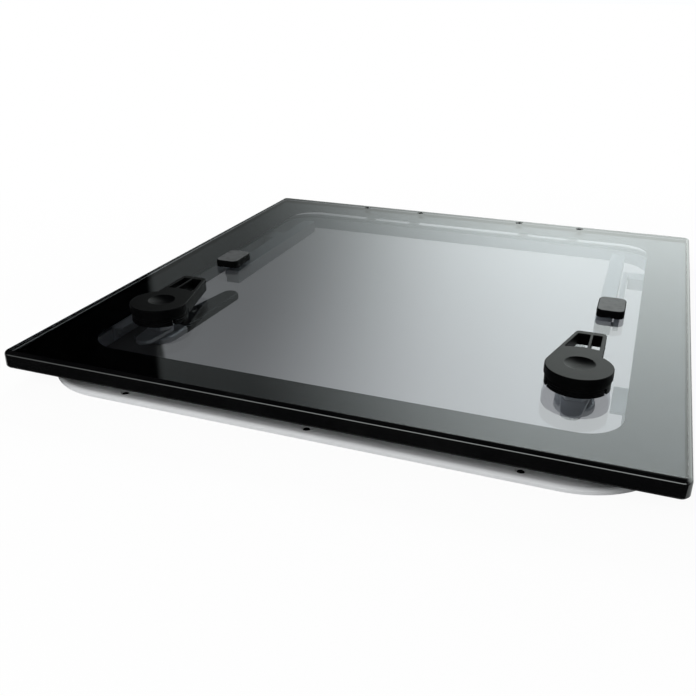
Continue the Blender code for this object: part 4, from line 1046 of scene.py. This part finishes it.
# %% Build the handles
DISH_RADIUS = 0.0135
DISH_DEPTH = 0.0034
DISH_OFFSET = 0.004
DISH_LEAN = 0.0042
DISH_STEPS = 12
DISH_ROUND_STEPS = 56
DISH_POWER = 0.85
DRAFT_DROP = 0.003
SOCKET_RADIUS = 0.0053
SOCKET_DEPTH = 0.0022


def dish_cutter(centre):
    """A bowl whose rings slide toward the back as they go down."""
    loops = []
    for step in range(1, DISH_STEPS + 1):
        share = step / DISH_STEPS
        middle = (centre[0], centre[1] + DISH_OFFSET + DISH_LEAN * (1 - share))
        depth = DISH_DEPTH * math.cos(share * math.pi / 2) ** DISH_POWER
        ring = arc(middle, DISH_RADIUS * share, 0, 2 * math.pi, DISH_ROUND_STEPS)[:-1]
        loops.append(level(ring, HANDLE_TOP - depth))
    loops.append(level(ring, HANDLE_TOP + OVERCUT))
    return skin(loops)


def window_cutter(outline, foot, low, high):
    """A window's prism, wider at its foot for the mould's draft and flared at its top into a rounded edge."""
    loops = [level(foot, low - OVERCUT), level(foot, low), level(outline, high - DRAFT_DROP)]
    loops.append(level(outline, high - WINDOW_ROUND))
    for flare, rise in quarter_round(WINDOW_ROUND, WINDOW_CORNER_STEPS)[1:]:
        loops.append(level(grown(outline, flare), high - WINDOW_ROUND + rise))
    loops.append(level(grown(outline, WINDOW_ROUND), high + OVERCUT))
    return skin(loops)


def build_handle(name, side):
    skirt = HANDLE_LOW - LEVER_SKIRT

    def loop(inset, height):
        return level(placed(handle_outline(inset), LATCH_AXIS), height)

    loops = rounded_stack(loop, skirt, HANDLE_TOP, HANDLE_FOOT_ROUND, HANDLE_ROUND, HANDLE_FOOT_STEPS)
    handle = as_object(f"handle_moulding_{name}", sided(skin(loops), side), "black_plastic")
    clear = round_hole(*LATCH_AXIS, HANDLE_RADIUS + GAP, skirt, HANDLE_LOW - OVERCUT)
    socket = bore(LATCH_AXIS, SOCKET_RADIUS, HANDLE_LOW - OVERCUT, HANDLE_LOW + SOCKET_DEPTH)
    for cutter in (clear, socket, dish_cutter(LATCH_AXIS)):
        carve(handle, sided(cutter, side))
    tops = [placed(window, LATCH_AXIS) for window in lever_windows(LEVER_RAIL, LEVER_TIP_BAR)]
    feet = [placed(window, LATCH_AXIS) for window in lever_windows(RAIL_AT_FOOT, TIP_BAR_AT_FOOT)]
    windows = [window_cutter(top, foot, skirt, HANDLE_TOP) for top, foot in zip(tops, feet)]
    carve(handle, sided(joined(windows), side))
    return seat(handle, f"handle_{name}", f"latch_{name}")


both_sides(build_handle)

# %% [markdown]
# ## Grooved rings
# Under each handle a fixed ring stands on the lid. Three grooves run round it, and two slots in its wall let
# water out. It is a turned shape, so a profile with round-bottomed grooves is spun and the slots are cut.

# %% Build the grooved rings
RING_LOW = 0.0338
RING_RADIUS = 0.027
RING_WALL = 0.006
RING_HEIGHT = 0.0092
RING_COVER = 0.002
RING_GROOVES = 3
GROOVE_RADIUS = 0.0008
GROOVE_STEPS = 8
RING_STEPS = 96
RING_EDGE = 0.0003
SLOT_WIDTH = 0.0034
SLOT_HEIGHT = 0.0058
SLOT_CORNER = 0.0006
SLOT_ANGLES = (math.radians(-27), math.radians(-152))


def ring_profile():
    top = RING_LOW + RING_HEIGHT
    inner = RING_RADIUS - RING_WALL
    profile = [(RING_RADIUS - RING_EDGE, RING_LOW), (RING_RADIUS, RING_LOW + RING_EDGE)]
    for groove in range(1, RING_GROOVES + 1):
        middle = RING_LOW + groove * RING_HEIGHT / (RING_GROOVES + 1)
        for x, z in arc((0, 0), GROOVE_RADIUS, -math.pi / 2, -3 * math.pi / 2, GROOVE_STEPS):
            profile.append((RING_RADIUS + x, middle + z))
    profile += [(RING_RADIUS, top - RING_EDGE), (RING_RADIUS - RING_EDGE, top)]
    profile += [(SOCKET_RADIUS, top), (SOCKET_RADIUS, top - RING_COVER)]
    return profile + [(inner, top - RING_COVER), (inner, RING_LOW)]


def build_ring(name, side):
    spun = sided(turned(ring_profile(), LATCH_AXIS, ring=True, steps=RING_STEPS), side)
    ring = as_object(f"grooved_ring_{name}", spun, "black_plastic")
    reach = RING_RADIUS - RING_WALL / 2
    plan = rounded_rectangle(RING_WALL / 2 + OVERCUT, SLOT_WIDTH / 2, SLOT_CORNER, (reach, 0.0), steps=4)
    slots = []
    for angle in SLOT_ANGLES:
        slots.append(prism(placed(plan, LATCH_AXIS, angle), RING_LOW - OVERCUT, RING_LOW + SLOT_HEIGHT))
    carve(ring, sided(joined(slots), side))
    return seat(ring, f"escutcheon_{name}", "lid")


both_sides(build_ring)

# %% [markdown]
# ## Inner levers
# Each latch has a second lever inside the boat. It is an aluminium forging whose arm is dipped in black
# vinyl, and the hub is left bare. The vinyl has a thickness, so the hub is drawn a little thinner and the
# surface steps down where the dip ends.

# %% Material: dipped vinyl
make_finish(
    "dipped_vinyl",
    {"grain": (MOULDED_GRAIN, 900.0, 60.0), "film": (HANDLED_FILM, 40.0, 300.0)},
    [(0.003, 0.003, 0.0033), ("grain.Tone", (0.0055, 0.0055, 0.0058))],
    [0.46, ("film.Film", -0.10)],
    ("grain.Height", 0.12, 0.00008),
    {"Specular IOR Level": 0.2},
)

# %% Build the inner levers
INNER_LEVER_SPAN = 0.1185
INNER_HUB_RADIUS = 0.0175
INNER_TIP_RADIUS = 0.0095
INNER_LEVER_LOW = 0.0015
INNER_LEVER_TOP = 0.0098
INNER_LEVER_SPLAY = math.radians(6)
INNER_LEVER_ROUND = 0.0028
DIP_START = 0.021
DIP_STEP = 0.0005
ON_PLANE = 1e-7
BARE_SHARE = 0.965
SPINDLE_HALF = 0.0038
SPINDLE_CORNER = 0.0003
SCREW_ROOM_RADIUS = 0.0068
SCREW_SEAT = 0.0041


def dipped_forging():
    """The lever from the origin along +Y, thinner and bare as far as the dip."""
    def loop(inset, height):
        outline = link_outline(INNER_LEVER_SPAN, INNER_HUB_RADIUS - inset, INNER_TIP_RADIUS - inset)
        return level(outline, height)

    low, top, edge = INNER_LEVER_LOW, INNER_LEVER_TOP, INNER_LEVER_ROUND
    forging = skin(rounded_stack(loop, low, top, edge, edge))
    for station in (DIP_START - DIP_STEP, DIP_START):
        whole = forging.verts[:] + forging.edges[:] + forging.faces[:]
        plane = {"plane_co": (0, station, 0), "plane_no": (0, 1, 0)}
        bmesh.ops.bisect_plane(forging, geom=whole, dist=ON_PLANE, **plane)
    middle = (low + top) / 2
    for vertex in forging.verts:
        if vertex.co.y < DIP_START - DIP_STEP / 2:
            vertex.co.x *= BARE_SHARE
            vertex.co.z = middle + (vertex.co.z - middle) * BARE_SHARE
    for face in forging.faces:
        face.material_index = int(face.calc_center_median().y > DIP_START - DIP_STEP)
    return forging


def build_inner_lever(name, side):
    forging = dipped_forging()
    turn = Matrix.Translation((*LATCH_AXIS, 0)) @ Matrix.Rotation(INNER_LEVER_SPLAY, 4, "Z")
    bmesh.ops.transform(forging, matrix=turn, verts=forging.verts)
    lever = as_object(f"inner_lever_forging_{name}", sided(forging, side), "anodised", "dipped_vinyl")
    square = rounded_rectangle(SPINDLE_HALF, SPINDLE_HALF, SPINDLE_CORNER, LATCH_AXIS, steps=2)
    room = bore(LATCH_AXIS, SCREW_ROOM_RADIUS, INNER_LEVER_LOW - OVERCUT, SCREW_SEAT)
    for cutter in (prism(square, SCREW_SEAT - OVERCUT, INNER_LEVER_TOP + OVERCUT), room):
        carve(lever, sided(cutter, side))
    return seat(lever, f"inner_lever_{name}", f"latch_{name}")


both_sides(build_inner_lever)

# %% [markdown]
# ## Screws
# Every screw takes a hexagon key. The socket is cut into a copy of the screw's own solid, in the middle of
# the face that its head shows.

# %% Cut the sockets
KEY_LEAD_IN = 0.0001
SCREW_HEADS = (
    ("hinge_screw", (0, 0, 1), 0.0024, 0.0024),
    ("leaf_screw", (0, 0, 1), 0.0016, 0.0014),
    ("anchor_screw", (0, 0, 1), 0.0026, 0.0018),
    ("spindle_screw", (0, 0, -1), 0.0030, 0.0015),
    ("keeper_screw_left", (1, 0, 0), 0.0016, 0.0014),
    ("keeper_screw_right", (-1, 0, 0), 0.0016, 0.0014),
)


def socketed_screw(name, node, facing, radius, depth):
    low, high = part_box(name)
    facing = Vector(facing)
    head = (low + high) / 2
    for axis in range(3):
        if facing[axis]:
            head[axis] = high[axis] if facing[axis] > 0 else low[axis]
    solid = bmesh.new()
    solid.from_mesh(node.data)
    bmesh.ops.remove_doubles(solid, verts=solid.verts, dist=SAME_POINT)
    screw = as_object(f"socketed_{name}", solid, finish_of[name])
    hexagon = arc((0, 0), radius, 0, 2 * math.pi, 6)[:-1]
    mouth = grown(hexagon, KEY_LEAD_IN)
    socket = skin([level(hexagon, -depth), level(mouth, 0.0), level(mouth, OVERCUT)])
    turn = Matrix.Translation(head) @ facing.to_track_quat("Z", "Y").to_matrix().to_4x4()
    bmesh.ops.transform(socket, matrix=turn, verts=socket.verts)
    carve(screw, socket)
    return seat(screw, name, node["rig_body"])


socketed = []
for start, facing, radius, depth in SCREW_HEADS:
    for name in sorted(frame["nodes"]):
        if name.startswith(start):
            socketed.append(socketed_screw(name, frame["nodes"][name], facing, radius, depth).name)
print("socketed screws:", len(socketed))

# %% [markdown]
# ## Track caps
# Behind each handle a small moulded cap hides the screw that holds the stay's track. It has rounded corners
# and a soft top edge, a recess for the screw head below and a notch at the front to pry it off.

# %% Build the caps
CAP_X = 0.214
CAP_HALF_X = 0.0135
CAP_HALF_Y = 0.02075
CAP_LOW = 0.0338
CAP_TOP = 0.0418
CAP_CORNER = 0.007
CAP_CORNER_STEPS = 12
CAP_ROUND = 0.0016
CAP_FOOT_ROUND = 0.0002
NOTCH_HALF = 0.0055
NOTCH_DEPTH = 0.0012
NOTCH_CORNER = 0.0006
NOTCH_HEIGHT = 0.0028
HEAD_ROOM_RADIUS = 0.0058
HEAD_ROOM_HEIGHT = 0.0038


def build_cap(name, side):
    loop = rectangle_loops(CAP_HALF_X, CAP_HALF_Y, CAP_CORNER, (CAP_X, ANCHOR_Y), CAP_CORNER_STEPS)
    moulding = skin(rounded_stack(loop, CAP_LOW, CAP_TOP, CAP_FOOT_ROUND, CAP_ROUND, foot_steps=1))
    cap = as_object(f"track_cap_{name}", sided(moulding, side), "black_plastic_painted_sheen")
    room = bore((ANCHOR_X, ANCHOR_Y), HEAD_ROOM_RADIUS, CAP_LOW - OVERCUT, CAP_LOW + HEAD_ROOM_HEIGHT)
    front = (CAP_X, ANCHOR_Y - CAP_HALF_Y - OVERCUT)
    plan = rounded_rectangle(NOTCH_HALF, NOTCH_DEPTH + OVERCUT, NOTCH_CORNER, front, steps=4)
    for cutter in (room, prism(plan, CAP_LOW - OVERCUT, CAP_LOW + NOTCH_HEIGHT)):
        carve(cap, sided(cutter, side))
    return seat(cap, f"stay_cap_{name}", "lid")


both_sides(build_cap)

# %% [markdown]
# ## Flanged frame
# The frame is one extruded section bent round in a rounded square: a flat flange for the deck, then a rim
# with a groove for the seal. A bent extrusion is a sweep, so the section's points each become one loop,
# and round corners in the section are drawn as arcs. The screw holes are drilled afterwards.

# %% Frame section
FRAME_HALF_X = 0.280
FRAME_HALF_Y = 0.286
FRAME_MIDDLE = (0.0, -0.010)
FRAME_CORNER = 0.077
FLANGE_THICKNESS = 0.0050
FLANGE_ROUND = 0.003
FLANGE_STEPS = 8
FLANGE_WIDTH = 0.020
RIM_WIDTH = 0.018
RIM_HEIGHT = 0.0135
RIM_EDGE = 0.001
RIM_EDGE_STEPS = 4
SEAL_GROOVE_WIDTH = 0.008
SEAL_GROOVE_DEPTH = 0.0025
frame_loop = rectangle_loops(FRAME_HALF_X, FRAME_HALF_Y, FRAME_CORNER, FRAME_MIDDLE, 2 * CORNER_STEPS)


def frame_section():
    """(inset, height) from the outer foot over the flange and the rim to the inner foot."""
    ring = FLANGE_WIDTH + RIM_WIDTH
    groove = FLANGE_WIDTH + (RIM_WIDTH - SEAL_GROOVE_WIDTH) / 2
    shoulder = RIM_HEIGHT - RIM_EDGE
    quarter = math.pi / 2
    edge = (FLANGE_ROUND, FLANGE_THICKNESS - FLANGE_ROUND)
    foot = (FLANGE_WIDTH - RIM_EDGE, FLANGE_THICKNESS + RIM_EDGE)
    section = [(0.0, 0.0)] + arc(edge, FLANGE_ROUND, math.pi, quarter, FLANGE_STEPS)
    section += arc(foot, RIM_EDGE, -quarter, 0, RIM_EDGE_STEPS)
    section += arc((FLANGE_WIDTH + RIM_EDGE, shoulder), RIM_EDGE, math.pi, quarter, RIM_EDGE_STEPS)
    floor_height = RIM_HEIGHT - SEAL_GROOVE_DEPTH
    section += [(groove, RIM_HEIGHT), (groove, floor_height)]
    section += [(groove + SEAL_GROOVE_WIDTH, floor_height), (groove + SEAL_GROOVE_WIDTH, RIM_HEIGHT)]
    section += arc((ring - RIM_EDGE, shoulder), RIM_EDGE, quarter, 0, RIM_EDGE_STEPS)
    return section + [(ring, 0.0)]


print("frame section points:", len(frame_section()))

# %% Build the frame
DECK_SHANK_RADIUS = 0.0024
DECK_HEAD_RADIUS = 0.0045
DECK_HOLE_PITCH = 0.174
DECK_HOLE_INSET = 0.0104
PILOT_RADIUS = 0.00165
PILOT_STEPS = 32
LEAF_SCREW_X = (0.081, 0.141)
LEAF_SCREW_Y = 0.2645
KEEPER_SCREW_Y = (-0.199, -0.169)
KEEPER_SCREW_HEIGHT = 0.0065
KEEPER_PILOT_END = 0.2465


def deck_hole_points():
    """Three holes on each edge of the flange, about the middle of that edge."""
    points = []
    for step in (-1, 0, 1):
        along = step * DECK_HOLE_PITCH
        for side in (-1, 1):
            points.append((along, FRAME_MIDDLE[1] + side * (FRAME_HALF_Y - DECK_HOLE_INSET)))
            points.append((side * (FRAME_HALF_X - DECK_HOLE_INSET), FRAME_MIDDLE[1] + along))
    return points


def keeper_pilot(side, y):
    """Blind hole from the rim's inner wall outward."""
    pilot = bore((0, 0), PILOT_RADIUS, 0.0, KEEPER_PILOT_END - LATCH_X, steps=PILOT_STEPS)
    turn = Matrix.Translation((LATCH_X, y, KEEPER_SCREW_HEIGHT)) @ Matrix.Rotation(math.pi / 2, 4, "Y")
    bmesh.ops.transform(pilot, matrix=turn, verts=pilot.verts)
    return sided(pilot, side)


def build_frame():
    loops = [frame_loop(inset, height) for inset, height in frame_section()]
    extrusion = as_object("flanged_frame", skin(loops, ring=True), "frame_coat")
    holes = []
    for x, y in deck_hole_points():
        holes.append(countersunk_hole(x, y, DECK_SHANK_RADIUS, DECK_HEAD_RADIUS, 0.0, FLANGE_THICKNESS))
    for _, side in SIDES:
        for x in LEAF_SCREW_X:
            holes.append(round_hole(side * x, LEAF_SCREW_Y, PILOT_RADIUS, 0.0, FLANGE_THICKNESS))
        holes += [keeper_pilot(side, y) for y in KEEPER_SCREW_Y]
    carve(extrusion, joined(holes))
    return seat(extrusion, "lower_frame", "frame")


print("frame faces:", len(build_frame().data.polygons))

# %% [markdown]
# ## Seal
# The seal is an extruded rubber section: a foot that fills the groove, a neck, and a soft bulb that the lid
# presses. The solid is one rounded strip, so a neck and an ellipse for the bulb are drawn here.

# %% Build the seal
SEAL_SIDE = ((0.0037, 0.0113), (0.0037, 0.0135), (0.0034, 0.0138), (0.0029, 0.0141))
BULB_HALF = (0.0035, 0.00155)
BULB_MIDDLE = 0.01545
BULB_START = math.radians(215)
BULB_STEPS = 22


def seal_section():
    """(offset, height) from the outer foot over the bulb to the inner foot."""
    section = [(-offset, height) for offset, height in SEAL_SIDE]
    for x, z in arc((0, 0), 1.0, BULB_START, math.pi - BULB_START, BULB_STEPS):
        section.append((x * BULB_HALF[0], BULB_MIDDLE + z * BULB_HALF[1]))
    return section + list(reversed(SEAL_SIDE))


def build_seal():
    middle = FLANGE_WIDTH + RIM_WIDTH / 2
    loops = [frame_loop(middle + offset, height) for offset, height in seal_section()]
    seal = as_object("seal_section", skin(loops, ring=True), "seal_rubber")
    return seat(seal, "frame_gasket", "frame")


print("seal faces:", len(build_seal().data.polygons))

# %% [markdown]
# ## Deck hole sleeves
# A thin black nylon sleeve lines each countersunk hole in the flange, a dark lining that paints shade into
# the hole. It stays inside its hole and is open in the middle.

# %% Line the deck holes
SLEEVE_CLEARANCE = 0.0001
SLEEVE_WALL = 0.0003
SLEEVE_LIP = 0.0006
SLEEVE_STEPS = 40


def build_shade_sleeve(x, y):
    outer = DECK_SHANK_RADIUS - SLEEVE_CLEARANCE
    inner = outer - SLEEVE_WALL
    cone = FLANGE_THICKNESS - (DECK_HEAD_RADIUS - DECK_SHANK_RADIUS)
    profile = [
        (inner, SLEEVE_CLEARANCE),
        (outer, SLEEVE_CLEARANCE),
        (outer, cone),
        (outer + SLEEVE_LIP, cone + SLEEVE_LIP),
        (outer + SLEEVE_LIP - SLEEVE_WALL, cone + SLEEVE_LIP + SLEEVE_WALL),
        (inner, cone + SLEEVE_WALL),
    ]
    # Painted shade: the black sleeve darkens the walls of the hole.
    spun = turned(profile, (x, y), ring=True, steps=SLEEVE_STEPS)
    sleeve = as_object("deck_hole_shade_sleeve", spun, "black_plastic")
    shade(sleeve)
    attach(sleeve, "frame")
    return sleeve.name


print("sleeves:", len([build_shade_sleeve(x, y) for x, y in deck_hole_points()]))

# %% [markdown]
# ## Finish the CAD pieces
# The record says which finish each node takes. A node keeps its own mesh, and its material slot is filled
# with the finish of that name. No made edge is perfectly sharp, so modifiers merge each mesh into flat faces,
# round the edges between them, less on the small pieces, and weld the slivers that this leaves.

# %% Give every CAD node its finish
EDGE_ROUND = 0.0004
SMALL_EDGE_ROUND = 0.0002
SMALL_PIECE = 0.03
ROUNDED_ABOVE = math.radians(35)
SAME_PLANE = math.radians(1)


def soften(node, width):
    node.modifiers.new("merge", "WELD").merge_threshold = SAME_POINT
    flats = node.modifiers.new("flats", "DECIMATE")
    flats.decimate_type = "DISSOLVE"
    flats.angle_limit = SAME_PLANE
    rounds = node.modifiers.new("rounds", "BEVEL")
    rounds.width = width
    rounds.segments = 2
    rounds.limit_method = "ANGLE"
    rounds.angle_limit = ROUNDED_ABOVE
    rounds.harden_normals = True
    node.modifiers.new("slivers", "WELD").merge_threshold = SLIVER
    node.modifiers.new("flat_flats", "WEIGHTED_NORMAL").keep_sharp = True


for name, node in frame["nodes"].items():
    node.data.materials.clear()
    node.data.materials.append(bpy.data.materials[finish_of[name]])
    low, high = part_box(name)
    small = max(high - low) < SMALL_PIECE
    soften(node, SMALL_EDGE_ROUND if small else EDGE_ROUND)
print("finished CAD nodes:", len(finish_of))
